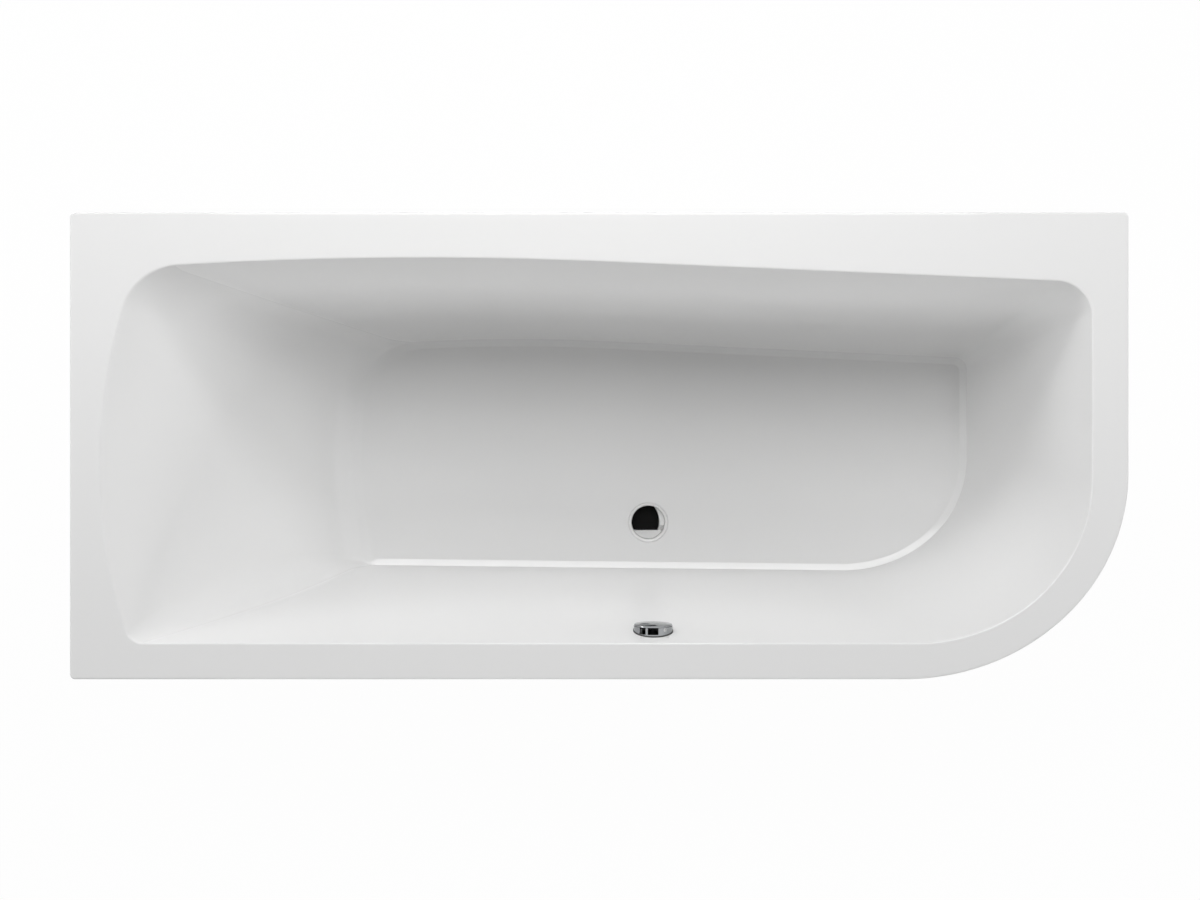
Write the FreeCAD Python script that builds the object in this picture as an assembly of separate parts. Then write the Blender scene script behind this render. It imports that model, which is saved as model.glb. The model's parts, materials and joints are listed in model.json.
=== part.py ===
import FreeCAD, Part
import math
import os
from FreeCAD import Vector

# An asymmetric acrylic bathtub with its leg set, wall hooks, rotary waste and overflow and trap.
# Frame: +X along the length towards the foot end, +Y towards the back wall, +Z up.
# The origin is on the bathroom floor under the middle of the tub. All sizes are in millimetres.

# Overall sizes
LENGTH = 1700.0
WIDTH = 750.0
RIM_Z = 595.0            # top of the rim above the bathroom floor
DEPTH = 430.0            # rim top down to the bath floor
SHEET = 4.0              # acrylic sheet
LAMINATE = 3.0           # glass-fibre laminate behind the sheet
LIP_HEIGHT = 40.0        # turned-down outer edge of the rim
FLOOR_Z = RIM_Z - DEPTH
UNDER_Z = FLOOR_Z - SHEET - LAMINATE

# Outer outline of the rim
RIM_CORNER = 8.0         # three small corners
RIM_SWEEP = (360.0, 330.0)   # the large elliptical corner at the front of the foot end
RIM_EDGE_ROUND = 3.0

# Basin outline: each pair is the value at the rim and at the bath floor
FRONT_Y = (-316.9, -235.7)       # front edge where it crosses X = 0
FRONT_SLOPE = (0.0, -0.0106)
FOOT_X = (791.2, 714.0)
HEAD_X = (-800.9, -496.0)
HEAD_MID_Y = (-30.0, -5.0)
HEAD_BOW = (882.0, 1100.0)
BACK_Y = (295.8, 204.0)          # back edge where it crosses X = 0
BACK_SLOPE = (-0.0424, -0.046)   # it comes forward towards the foot end
BACK_BOW = (6600.0, 3450.0)      # and bows gently towards the head end
ROUND_BACK_HEAD = (95.0, 130.0)
ROUND_BACK_FOOT = (58.0, 26.0)
ROUND_FRONT_HEAD = (28.0, 22.0)
VALLEY_SWELL = 50.0              # extra radius of the front head valley half way down
SWEEP_X = (284.0, 240.0)
SWEEP_Y = (264.0, 215.0)

# Rounding of the basin section
LIP_ROUND = 3.0
FLOOR_BAND = (12.3, 4.2)    # width and height of the flat band between a wall and the floor
BAND_SHARES = (1.0, 0.65, 0.35, 0.12, 0.0)   # heights of its sections
HEAD_BLEND = 80.0           # the backrest runs into the floor in one large round instead
HEAD_FALL = (HEAD_X[1] - HEAD_X[0]) / DEPTH
WALL_LEAN = math.atan2(FRONT_Y[1] - FRONT_Y[0], DEPTH)
ROUND_STEPS = 4
WALL_STEPS = 4
BLEND_STEPS = 3

# Drain and overflow places
DRAIN_X = 95.3
DRAIN_Y = -147.9
OVERFLOW_X = 89.0
OVERFLOW_Z = RIM_Z - 60.0
HOSE_X = (DRAIN_X + OVERFLOW_X) / 2   # the hose hangs in one upright plane between the two

# Base board and leg set
BOARD_THICK = 18.0
BOARD_Z = UNDER_Z - BOARD_THICK
BOARD_CORNERS = ((-420.0, -180.0), (640.0, -180.0), (640.0, 118.0), (-420.0, 150.0))
BOARD_ROUND = 45.0
BOARD_DRAIN_R = 62.0       # opening round the waste
RAIL_WIDTH = 40.0
RAIL_HEIGHT = 25.0
RAIL_GAUGE = 2.0
RAILS = {"head": (-330.0, -252.0, 225.0), "foot": (510.0, -256.0, 205.0)}   # X, front foot Y, back foot Y
RAIL_OVERHANG = 22.0
ROD_R = 5.0
ROD_ROOT_R = 4.25
ROD_PITCH = 1.5
ROD_TOP_Z = 160.0
FOOT_R = 27.0
FOOT_EDGE_Z = 6.0
FOOT_HUB_R = 13.0
FOOT_HUB_Z = 26.0
FOOT_SOCKET_Z = 10.0       # bottom of the socket that holds the rod
NUT_FLATS = 17.0
NUT_HEIGHT = 8.0
SCREW_R = 2.3
SCREW_FLATS = 8.0
SCREW_HEAD = 3.5
SCREW_BITE = 14.0          # depth in the board
SCREW_SIDE = 10.0          # from the rail's middle line
SCREW_ROWS = (-140.0, 85.0)

# Wall hooks under the rim edge
HOOK_WIDTH = 50.0
HOOK_GAUGE = 2.0
HOOK_PLATE = 55.0
HOOK_RISE = 26.0
HOOK_GAP = 0.3
HOOK_ROUND = 8.0
HOOK_HOLE_DROP = 32.0      # holes under the rim edge
HOOK_HOLE_R = 3.25
HOOK_HOLE_SPACING = 26.0
HOOK_BACK_X = (-480.0, 430.0)
HOOK_HEAD_Y = -20.0

# Waste
FLANGE_R = 38.0
FLANGE_CROWN = 5.0       # round from the flange's top into the throat
FLANGE_PROUD = 0.2
SLEEVE_R = 33.5          # flange's threaded sleeve, which ends above the seat
SLEEVE_END = 13.0
RECESS_R = 38.4
RECESS_DEPTH = 3.0
DRAIN_HOLE_R = 34.0
SUMP_R = 48.0
SEAL_BORE_R = 34.1
SEAL_THICK = 0.8
GASKET_R = 46.0
GASKET_THICK = 3.0
THROAT_R = 32.4
SEAT_Z = 128.0
SEAT_THICK = 4.0
SEAT_BORE_R = 14.0
COLLAR_R = 33.9          # inside of the body's collar, round the sleeve
COLLAR_FLANGE_R = 47.0
COLLAR_FLANGE = 5.0
CHAMBER_R = 33.0
CHAMBER_Z = 91.0
BODY_R = 37.0
BODY_FLOOR = 3.0
TAIL_R = 22.0
TAIL_Z = 80.0
GEAR_TOP_Z = 150.0       # housing of the lifting gear, on two sides of the stopper
GEAR_GAP = 1.0           # between it and the stopper, and half of that round it
GEAR_SLOPE = 40.0        # degrees that its top falls in front, towards the stopper
GEAR_DROP = 12.0
PORT_Z = 112.0
PORT_R = 15.0
PORT_BORE_R = 12.0
PORT_REACH = 62.0
GLAND_R = 4.5            # where the control cable enters a housing
GLAND_LENGTH = 22.0
INNER_WIRE_R = 1.0
GUIDE_R = 7.0            # guide of the stopper's stem, on three arms under the seat
GUIDE_DEPTH = 6.0
GUIDE_ARM = 20.5
GUIDE_ARM_HALF = 1.5
LUG_Y = 8.0              # lugs of the lever's pin, each side of the lever
LUG_HALF = 5.0
STOPPER_R = 31.4
STOPPER_FLAT = 16.0      # from the drain's axis to the stopper's flat, towards the overflow
STOPPER_SIDE = 21.5      # and to its side, which is bowed
STOPPER_BOW = 50.0
STOPPER_THICK = 5.0
STOPPER_LIFT = 1.5       # stopper disc above its seat, on the seal
STOPPER_ROUND = 2.0
STEM_R = 4.0
STEM_NOSE_R = 2.5
STEM_NOSE = 6.0
STEM_PLATE_R = 10.0
STEM_PLATE = 1.2
CRANK_X = 16.0           # lever pivot from the drain axis
CRANK_Z = 104.0
CRANK_REST = -16.0       # degrees below level; it turns up to as much above
CRANK_TIP_R = 2.5
CRANK_ARM_HALF = 1.5
CRANK_HALF_WIDTH = 3.0
CRANK_HUB_R = 4.5
CRANK_HUB_HALF = 6.2
CRANK_UPRIGHT = 13.0
CABLE_RISE = 10.0        # cable gland above the lever's pivot
PIN_R = 2.0
PIN_LENGTH = 20.0

# Trap
PIPE_R = 20.0
PIPE_BORE_R = 17.0
PIPE_TOP_Z = 79.0
BEND_R = 36.0
CROWN_R = 34.0
BEND_Z = 70.0
OUTLET_LENGTH = 75.0
PIPE_COLLAR_R = 21.8
PIPE_COLLAR = 3.0
BEAD_R = 23.0            # stop bead on the outlet
BEAD_LENGTH = 5.0
BEAD_START = 8.0
WASHER_THICK = 1.0
UNION_FLATS = 58.0
UNION_ROUND_R = 32.0
UNION_Z = 71.0
UNION_HEIGHT = 16.8
UNION_NECK_R = 20.4
UNION_BORE_R = 22.3
CLEAN_BOSS_R = 14.0
CLEAN_BOSS_Z = 13.0
CLEAN_HOLE_R = 9.0
CLEAN_SEAL = 1.4
CAP_R = 17.0
CAP_Z = 6.0
CAP_GRIP_Z = 2.5
CAP_GRIP = (13.0, 2.5)   # half length and half width of the finger grip
PLUG_R = 8.9
PLUG_LENGTH = 5.0

# Overflow
KNOB_R = 31.4
KNOB_EDGE = 2.6
KNOB_DOME = 1.5
KNOB_BEVEL = 0.8
KNOB_FACE_Y = -293.9
KNOB_BACK_Y = KNOB_FACE_Y - KNOB_EDGE
KNOB_HUB_R = 7.0
KNOB_SOCKET = 2.6
DIMPLE_R = 22.0
DIMPLE_DEPTH = 1.2
DIMPLE_PLACE = (-15.0, 12.0)     # from the knob's axis, across and up
ROSETTE_R = 32.2
ROSETTE_BORE_R = 29.4
ROSETTE_FRONT_Y = KNOB_BACK_Y - 0.4
ROSETTE_SLOTS = ((-45.0, -25.0), (-18.0, 13.0))   # degrees from straight up, towards +X
SLOT_LENGTH = 11.0       # each slot is a notch in the rosette's front edge
ROSETTE_SEAL_R = 33.0
ROSETTE_SEAL = 2.0       # between the rosette and the bath's wall
SET_SCREW_ANGLE = 35.5
SET_SCREW_R = 2.9
SET_SCREW_LENGTH = 4.4
SET_SCREW_BACK = 3.6     # from the rosette's front
SET_SCREW_INNER_R = 27.4
SET_SCREW_SOCKET = 2.6
CARRIER_Y = ROSETTE_FRONT_Y - 2.2
CARRIER_THICK = 2.6
CARRIER_HUB_R = 10.0
CARRIER_ARM = 27.2
CARRIER_ARM_HALF = 5.0
CARRIER_SCREW_X = 20.0
CARRIER_SCREW_R = 2.4
CARRIER_SCREW_LENGTH = 40.0
CARRIER_HEAD_R = 4.4
CARRIER_HEAD = 1.8
OVERFLOW_HOLE_R = 26.0
WALL_FRONT_Y = -290.0    # two planes well clear of the leaning wall at the overflow
WALL_BACK_Y = -340.0
SLEEVE_BACK_Y = -330.0
HOUSING_FRONT_Y = -325.0
HOUSING_BACK_Y = -364.0
HOUSING_FLANGE_R = 36.0
HOUSING_FLANGE = 4.0
HOUSING_R = 31.0
HOUSING_WALL = 3.0
BOSS_R = 5.0
BOSS_BACK_Y = -350.0
BOSS_LENGTH = 20.0
BOSS_WEB_HALF = 3.0
SPIGOT_Y = -346.0
SPIGOT_END_Z = 478.0
SPIGOT_BORE_TOP = 18.0   # its bore opens into the housing this far under the axis
SPINDLE_R = 4.0
SPINDLE_BACK_Y = -357.0
SPINDLE_ARM = 12.0
SPINDLE_ARM_HALF = 4.5
SPINDLE_ARM_THICK = 4.0
SPINDLE_PIN_R = 2.5
SPINDLE_PIN_REACH = 11.0
SPINDLE_PIN_LENGTH = 9.0
SPINDLE_REST = 45.0      # degrees of the crank at rest

# Overflow hose and control cable
HOSE_BEND_R = 105.0
HOSE_ROOT_R = 13.2
HOSE_CREST_R = 15.4
HOSE_PITCH = 6.0
HOSE_CUFF = 31.0
HOSE_NUT_R = 20.0
HOSE_NUT_LENGTH = 30.0
HOSE_NUT_REACH = 14.0    # how far the nut covers the hose
HOSE_NUT_GROOVES = 16
CABLE_R = 2.5
GLAND_Z = CRANK_Z + CABLE_RISE
GLAND_REACH = BODY_R - 2.0 + GLAND_LENGTH   # end of the waste's gland from the drain's axis
CABLE_ROUTE = (
    (119.0, -346.0, 492.0), (119.0, -346.0, 345.0), (148.0, -338.0, 215.0), (205.0, -290.0, 128.0),
    (238.0, -205.0, 108.0), (205.0, DRAIN_Y, GLAND_Z), (DRAIN_X + GLAND_REACH, DRAIN_Y, GLAND_Z),
)
CLIP_Z = 410.0
CLIP_HEIGHT = 8.0
CLIP_WALL = 2.0

X_AXIS = Vector(1, 0, 0)
Y_AXIS = Vector(0, 1, 0)
Z_AXIS = Vector(0, 0, 1)


def cylinder(radius, start, axis, length):
    return Part.makeCylinder(radius, length, Vector(*start), axis)


def tube(outer, bore, start, axis, length):
    return cylinder(outer, start, axis, length).cut(cylinder(bore, start, axis, length))


def block(x0, x1, y0, y1, z0, z1):
    return Part.makeBox(x1 - x0, y1 - y0, z1 - z0, Vector(x0, y0, z0))


def turned(profile, centre, axis=Z_AXIS):
    """Revolve (radius, height) points about an axis through the centre."""
    points = [Vector(r, 0, z) for r, z in profile]
    face = Part.Face(Part.makePolygon(points + points[:1]))
    solid = face.revolve(Vector(0, 0, 0), Z_AXIS, 360)
    solid.Placement = FreeCAD.Placement(Vector(*centre), FreeCAD.Rotation(Z_AXIS, axis))
    return solid


def joined(shapes):
    first, rest = shapes[0], shapes[1:]
    return first.fuse(rest).removeSplitter() if rest else first


def hexagon(flats, start, axis, length):
    """A hexagonal prism with its flats square to the axis."""
    corner = Vector(flats / math.sqrt(3), 0, 0)
    ring = [FreeCAD.Rotation(Z_AXIS, 60.0 * k).multVec(corner) for k in range(7)]
    prism = Part.Face(Part.makePolygon(ring)).extrude(Vector(0, 0, length))
    prism.Placement = FreeCAD.Placement(Vector(*start), FreeCAD.Rotation(Z_AXIS, axis))
    return prism


def arc_between(centre, radius, start, end):
    """The short arc of a circle from one point to another, both on the circle."""
    middle = (start - centre).normalize() + (end - centre).normalize()
    middle = centre + middle.normalize() * radius
    return Part.Arc(start, middle, end).toShape()


def line(start, end):
    return Part.LineSegment(start, end).toShape()


def sweep_corner(foot, front, across, along, z):
    """Quarter ellipse from the front edge round to the foot edge."""
    ellipse = Part.Ellipse(Vector(foot - across, front + along, z), across, along)
    return Part.ArcOfEllipse(ellipse, -math.pi / 2, 0.0).toShape()


def rim_outline(inset, z):
    """Outer outline of the rim, drawn in by an inset."""
    x = LENGTH / 2 - inset
    y = WIDTH / 2 - inset
    r = RIM_CORNER - inset
    sweep = [size - inset for size in RIM_SWEEP]
    front = [Vector(-x + r, -y, z), Vector(x - sweep[0], -y, z)]
    foot = [Vector(x, -y + sweep[1], z), Vector(x, y - r, z)]
    back = [Vector(x - r, y, z), Vector(-x + r, y, z)]
    head = [Vector(-x, y - r, z), Vector(-x, -y + r, z)]
    edges = [line(*front), sweep_corner(x, -y, sweep[0], sweep[1], z), line(*foot)]
    edges += [arc_between(Vector(x - r, y - r, z), r, foot[1], back[0]), line(*back)]
    edges += [arc_between(Vector(-x + r, y - r, z), r, back[1], head[0]), line(*head)]
    edges += [arc_between(Vector(-x + r, -y + r, z), r, head[1], front[0])]
    return Part.Wire(edges)


def basin_outline(depth, inset, head_in):
    """Basin outline at a depth under the rim, drawn in by an inset, and further at the head end.

    It has nine tangent edges.
    """
    share = depth / DEPTH
    z = RIM_Z - depth

    def at(pair):
        return pair[0] + (pair[1] - pair[0]) * share

    front = at(FRONT_Y) + inset
    foot = at(FOOT_X) - inset
    across = at(SWEEP_X) - inset
    along = at(SWEEP_Y) - inset
    front_head_y = front + at(FRONT_SLOPE) * at(HEAD_X)
    front_foot_y = front + at(FRONT_SLOPE) * (foot - across)

    # Back edge: a straight line, then a shallow bow that leaves it at X = 0
    slope = at(BACK_SLOPE)
    lean = math.hypot(1.0, slope)
    outward = Vector(-slope / lean, 1.0 / lean, 0)
    back = at(BACK_Y) - inset * lean
    back_start = Vector(0, back, z)
    back_bow = at(BACK_BOW) - inset
    back_centre = back_start - outward * back_bow

    # Head edge: one bowed arc
    head_bow = at(HEAD_BOW) - inset
    head_centre = Vector(at(HEAD_X) + head_in + at(HEAD_BOW), at(HEAD_MID_Y), z)

    # Back foot corner, between two straight lines
    r = at(ROUND_BACK_FOOT) - inset
    centre = Vector(foot - r, back + slope * (foot - r) - r * lean, z)
    foot_end = Vector(foot, centre.y, z)
    back_end = centre + outward * r
    back_foot = arc_between(centre, r, foot_end, back_end)

    # Back head corner, between the two bows
    r = at(ROUND_BACK_HEAD) - inset
    reach_back = back_bow - r
    reach_head = head_bow - r
    between = head_centre - back_centre
    gap = between.Length
    along_gap = (reach_back**2 - reach_head**2 + gap**2) / (2 * gap)
    off_gap = math.sqrt(reach_back**2 - along_gap**2)
    between.normalize()
    centre = back_centre + between * along_gap + Vector(-between.y, between.x, 0) * off_gap
    if centre.x > 0:
        centre = back_centre + between * along_gap - Vector(-between.y, between.x, 0) * off_gap
    bow_end = back_centre + (centre - back_centre).normalize() * back_bow
    head_start = head_centre + (centre - head_centre).normalize() * head_bow
    back_head = arc_between(centre, r, bow_end, head_start)

    # Front head corner, between the head bow and the front line
    r = at(ROUND_FRONT_HEAD) + 4 * VALLEY_SWELL * share * (1 - share) - inset
    centre_y = front_head_y + r
    centre_x = head_centre.x - math.sqrt((head_bow - r)**2 - (centre_y - head_centre.y)**2)
    centre = Vector(centre_x, centre_y, z)
    head_end = head_centre + (centre - head_centre).normalize() * head_bow
    front_start = Vector(centre_x, front_head_y, z)
    front_head = arc_between(centre, r, head_end, front_start)

    edges = [line(front_start, Vector(foot - across, front_foot_y, z))]
    edges += [sweep_corner(foot, front_foot_y, across, along, z)]
    edges += [line(Vector(foot, front_foot_y + along, z), foot_end), back_foot, line(back_end, back_start)]
    edges += [arc_between(back_centre, back_bow, back_start, bow_end), back_head]
    edges += [arc_between(head_centre, head_bow, head_start, head_end), front_head]
    return Part.Wire(edges)


def rounding(step, radius):
    """Rise and inset of one step of a round between a level face and a leaning wall."""
    angle = (math.pi / 2 - WALL_LEAN) * step / ROUND_STEPS
    rise = radius * (1 - math.cos(angle))
    reach = (1 - math.sin(WALL_LEAN)) / math.cos(WALL_LEAN)
    return rise, radius * (reach - math.sin(angle)) + rise * math.tan(WALL_LEAN)


def loft(sections):
    return Part.makeLoft([basin_outline(*section) for section in sections], True, False)


def blend_height(radius):
    """Height at which the round at the foot of the backrest begins."""
    return radius * (1 - math.cos(math.pi / 2 - math.atan(HEAD_FALL)))


def blend_reach(height, radius):
    """How far that round lies in front of the backrest's straight line, at a height over the floor."""
    if height >= blend_height(radius):
        return 0.0
    turn = math.pi / 2 - math.atan(HEAD_FALL)
    return radius * math.tan(turn / 2) - math.sqrt(height * (2 * radius - height)) + HEAD_FALL * height


def basin(offset, top):
    """Solid that fills the basin, grown by an offset, from a depth down to the floor."""
    floor = DEPTH + offset
    radius = HEAD_BLEND + offset
    grown = (2 - math.sqrt(2)) * offset
    width, height = FLOOR_BAND[0] + grown, FLOOR_BAND[1] + grown
    wall_end = floor - blend_height(radius)
    wall = [(top + (wall_end - top) * step / WALL_STEPS, -offset, 0.0) for step in range(WALL_STEPS + 1)]
    blend = []
    for step in range(BLEND_STEPS + 1):
        rise = blend_height(radius) + (height - blend_height(radius)) * step / BLEND_STEPS
        blend.append((floor - rise, -offset, blend_reach(rise, radius)))
    band = []
    for share in BAND_SHARES:
        inset = width * (1 - share)
        band.append((floor - height * share, inset - offset, blend_reach(height * share, radius) - inset))
    return loft(wall).fuse([loft(blend), loft(band)])


def cavity():
    """The inside of the basin, with the rounded lip where it meets the rim."""
    lip_sections = []
    for step in range(ROUND_STEPS + 1):
        rise, inset = rounding(step, LIP_ROUND)
        lip_sections.append((rise, -inset, 0.0))
    return basin(0.0, lip_sections[-1][0]).fuse(loft(lip_sections))


def drain_round(radius, z0, z1):
    return cylinder(radius, (DRAIN_X, DRAIN_Y, z0), Z_AXIS, z1 - z0)


def drain_ring(outer, bore, z, height):
    return tube(outer, bore, (DRAIN_X, DRAIN_Y, z), Z_AXIS, height)


def overflow_round(radius, y0, y1):
    return cylinder(radius, (OVERFLOW_X, y0, OVERFLOW_Z), Y_AXIS, y1 - y0)


def make_tub(parts):
    inside = cavity()
    outside = basin(SHEET, SHEET / 2)
    edge = Part.Face(rim_outline(0.0, RIM_Z - LIP_HEIGHT)).extrude(Vector(0, 0, LIP_HEIGHT))
    top_edges = [e for e in edge.Edges if e.BoundBox.ZMin > RIM_Z - 0.1]
    edge = edge.makeFillet(RIM_EDGE_ROUND, top_edges)
    hollow = Part.Face(rim_outline(SHEET, RIM_Z - LIP_HEIGHT)).extrude(Vector(0, 0, LIP_HEIGHT - SHEET))
    drain = drain_round(SUMP_R, UNDER_Z, FLOOR_Z - SHEET / 2)
    shell = edge.cut(hollow).cut(inside).fuse([outside.cut(inside), drain])
    overflow = overflow_round(OVERFLOW_HOLE_R, WALL_BACK_Y, WALL_FRONT_Y)
    shell = shell.cut(drain_round(RECESS_R, FLOOR_Z - RECESS_DEPTH, FLOOR_Z + 1))
    parts["acrylic_shell"] = shell.cut([drain_round(DRAIN_HOLE_R, UNDER_Z - 1, FLOOR_Z + 1), overflow])

    backing = basin(SHEET + LAMINATE, SHEET).cut(outside)
    parts["glass_fibre_backing"] = backing.cut([drain_round(SUMP_R + 0.2, UNDER_Z - 1, FLOOR_Z), overflow])
    return inside


def make_board(parts):
    corners = [Vector(x, y, BOARD_Z) for x, y in BOARD_CORNERS]
    board = Part.Face(Part.makePolygon(corners + corners[:1])).extrude(Vector(0, 0, BOARD_THICK))
    upright = [e for e in board.Edges if e.BoundBox.ZLength > BOARD_THICK - 0.1]
    board = board.makeFillet(BOARD_ROUND, upright)
    parts["base_board"] = board.cut(drain_round(BOARD_DRAIN_R, BOARD_Z - 1, UNDER_Z + 1))


def rail_screw_places(x):
    return [(x + side * SCREW_SIDE, y) for y in SCREW_ROWS for side in (-1, 1)]


def make_rails(parts):
    screws = []
    nuts = []
    lock_nuts = []
    web = BOARD_Z - RAIL_GAUGE
    for end, (x, front, back) in RAILS.items():
        half = RAIL_WIDTH / 2
        y0 = front - RAIL_OVERHANG
        y1 = back + RAIL_OVERHANG
        rail = block(x - half, x + half, y0, y1, BOARD_Z - RAIL_HEIGHT, BOARD_Z)
        inner = half - RAIL_GAUGE
        rail = rail.cut(block(x - inner, x + inner, y0 - 1, y1 + 1, BOARD_Z - RAIL_HEIGHT - 1, web))
        for y in (front, back):
            rail = rail.cut(cylinder(ROD_R + 0.6, (x, y, web - 1), Z_AXIS, RAIL_GAUGE + 2))
            above = hexagon(NUT_FLATS, (x, y, BOARD_Z), Z_AXIS, NUT_HEIGHT)
            below = hexagon(NUT_FLATS, (x, y, web - NUT_HEIGHT), Z_AXIS, NUT_HEIGHT)
            bore = cylinder(ROD_R + 0.06, (x, y, web - 2 * NUT_HEIGHT), Z_AXIS, 5 * NUT_HEIGHT)
            nuts.append(above.cut(bore))
            lock_nuts.append(below.cut(bore))
        for sx, sy in rail_screw_places(x):
            rail = rail.cut(cylinder(SCREW_R + 0.3, (sx, sy, web - 1), Z_AXIS, RAIL_GAUGE + 2))
            head = hexagon(SCREW_FLATS, (sx, sy, web - SCREW_HEAD), Z_AXIS, SCREW_HEAD)
            shank = cylinder(SCREW_R, (sx, sy, web), Z_AXIS, RAIL_GAUGE + SCREW_BITE)
            screws.append(head.fuse(shank))
            hole = cylinder(SCREW_R + 0.02, (sx, sy, BOARD_Z - 1), Z_AXIS, SCREW_BITE + 1.2)
            parts["base_board"] = parts["base_board"].cut(hole)
        parts[end + "_rail"] = rail
    parts["rail_screws"] = Part.makeCompound(screws)
    parts["rail_nuts"] = Part.makeCompound(nuts)
    parts["lock_nuts"] = Part.makeCompound(lock_nuts)


def threaded_rod(x, y, z0, z1):
    """A rod with a ring groove for each turn of its thread."""
    turns = int((z1 - z0 - 4.0) / ROD_PITCH)
    profile = [(0.0, z0), (ROD_ROOT_R, z0), (ROD_R, z0 + 1.0)]
    for turn in range(turns):
        start = z0 + 1.5 + turn * ROD_PITCH
        profile += [(ROD_R, start), (ROD_ROOT_R, start + 0.5 * ROD_PITCH)]
    profile += [(ROD_R, z1 - 1.5), (ROD_ROOT_R, z1), (0.0, z1)]
    return turned(profile, (x, y, 0.0))


def make_feet(parts):
    places = [(end + side, x, y) for end, (x, front, back) in RAILS.items()
              for side, y in (("_front", front), ("_back", back))]
    for name, x, y in places:
        pad = [(0.0, 0.0), (FOOT_R - 1.5, 0.0), (FOOT_R, 1.5), (FOOT_R, FOOT_EDGE_Z)]
        pad += [(FOOT_R - 3.0, FOOT_EDGE_Z + 2.0)]
        pad += [(FOOT_HUB_R, 2 * FOOT_EDGE_Z), (FOOT_HUB_R - 1.5, FOOT_HUB_Z - 1.0)]
        pad += [(FOOT_HUB_R - 2.5, FOOT_HUB_Z), (ROD_R + 0.02, FOOT_HUB_Z)]
        pad += [(ROD_R + 0.02, FOOT_SOCKET_Z), (0.0, FOOT_SOCKET_Z)]
        parts["foot_pad_" + name] = turned(pad, (x, y, 0.0))
        parts["foot_rod_" + name] = threaded_rod(x, y, FOOT_SOCKET_Z, ROD_TOP_Z)


def wall_hook():
    """One hook, with the wall plane at Y = 0 and the underside of the rim edge at Z = 0."""
    half = HOOK_WIDTH / 2
    top = -HOOK_GAP
    shelf = top - HOOK_GAUGE
    inner = -SHEET - HOOK_GAP
    plate = block(-half, half, -HOOK_GAUGE, 0, top - HOOK_PLATE, top)
    tray = block(-half, half, inner - HOOK_GAUGE, 0, shelf, top)
    rise = block(-half, half, inner - HOOK_GAUGE, inner, shelf, HOOK_RISE)
    corners = [e for e in plate.Edges if e.BoundBox.YLength > HOOK_GAUGE - 0.1 and e.BoundBox.ZMax < shelf]
    hook = joined([plate.makeFillet(HOOK_ROUND, corners), tray, rise])
    for side in (-1, 1):
        hole = cylinder(HOOK_HOLE_R, (side * HOOK_HOLE_SPACING / 2, -5, -HOOK_HOLE_DROP), Y_AXIS, 10)
        hook = hook.cut(hole)
    return hook


def make_hooks(parts):
    edge_z = RIM_Z - LIP_HEIGHT
    for name, x in zip(("wall_hook_head", "wall_hook_foot"), HOOK_BACK_X):
        hook = wall_hook()
        hook.translate(Vector(x, WIDTH / 2, edge_z))
        parts[name] = hook
    hook = wall_hook()
    hook.rotate(Vector(0, 0, 0), Z_AXIS, 90)
    hook.translate(Vector(-LENGTH / 2, HOOK_HEAD_Y, edge_z))
    parts["wall_hook_end"] = hook


def make_flange(parts):
    seat = FLOOR_Z - RECESS_DEPTH
    under = seat + SEAL_THICK
    top = FLOOR_Z + FLANGE_PROUD
    sleeve_end = SEAT_Z + SLEEVE_END
    bevel = 0.8
    profile = [(THROAT_R, sleeve_end), (SLEEVE_R, sleeve_end), (SLEEVE_R, under), (FLANGE_R, under)]
    profile += [(FLANGE_R, top - bevel), (FLANGE_R - bevel, top), (THROAT_R + FLANGE_CROWN, top)]
    for step in (1, 2, 3):
        angle = math.pi / 6 * step
        radius = THROAT_R + FLANGE_CROWN * (1 - math.sin(angle))
        profile.append((radius, top - FLANGE_CROWN * (1 - math.cos(angle))))
    parts["waste_flange"] = turned(profile, (DRAIN_X, DRAIN_Y, 0.0))
    parts["flange_seal"] = drain_ring(FLANGE_R - 0.5, SEAL_BORE_R, seat, SEAL_THICK)
    parts["waste_gasket"] = drain_ring(GASKET_R, SEAL_BORE_R, UNDER_Z - GASKET_THICK, GASKET_THICK)


def stopper_outline(grown, z0, z1):
    """A round about the drain's axis, cut off flat towards the overflow and bowed on one side."""
    radius = STOPPER_R + grown
    outline = block(-radius, radius, -STOPPER_FLAT - grown, radius, z0, z1)
    outline = outline.common(cylinder(radius, (0, 0, z0), Z_AXIS, z1 - z0))
    side = cylinder(STOPPER_BOW + grown, (STOPPER_SIDE - STOPPER_BOW, 0, z0), Z_AXIS, z1 - z0)
    outline = outline.common(side)
    outline.translate(Vector(DRAIN_X, DRAIN_Y, 0))
    return outline


def make_gear_housing(parts):
    """Insert that houses the lifting gear: it fills the throat in front and to the right of the stopper."""
    housing = drain_round(THROAT_R - GEAR_GAP / 2, SEAT_Z, GEAR_TOP_Z)
    housing = housing.cut(stopper_outline(GEAR_GAP, SEAT_Z - 1, GEAR_TOP_Z + 1))
    slope = block(-FLANGE_R, FLANGE_R, -2 * FLANGE_R, 0, 0, FLANGE_R)
    slope.rotate(Vector(0, 0, 0), X_AXIS, -GEAR_SLOPE)
    slope.translate(Vector(DRAIN_X, DRAIN_Y - STOPPER_FLAT, GEAR_TOP_Z - GEAR_DROP))
    parts["gear_housing"] = housing.cut(slope)


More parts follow.
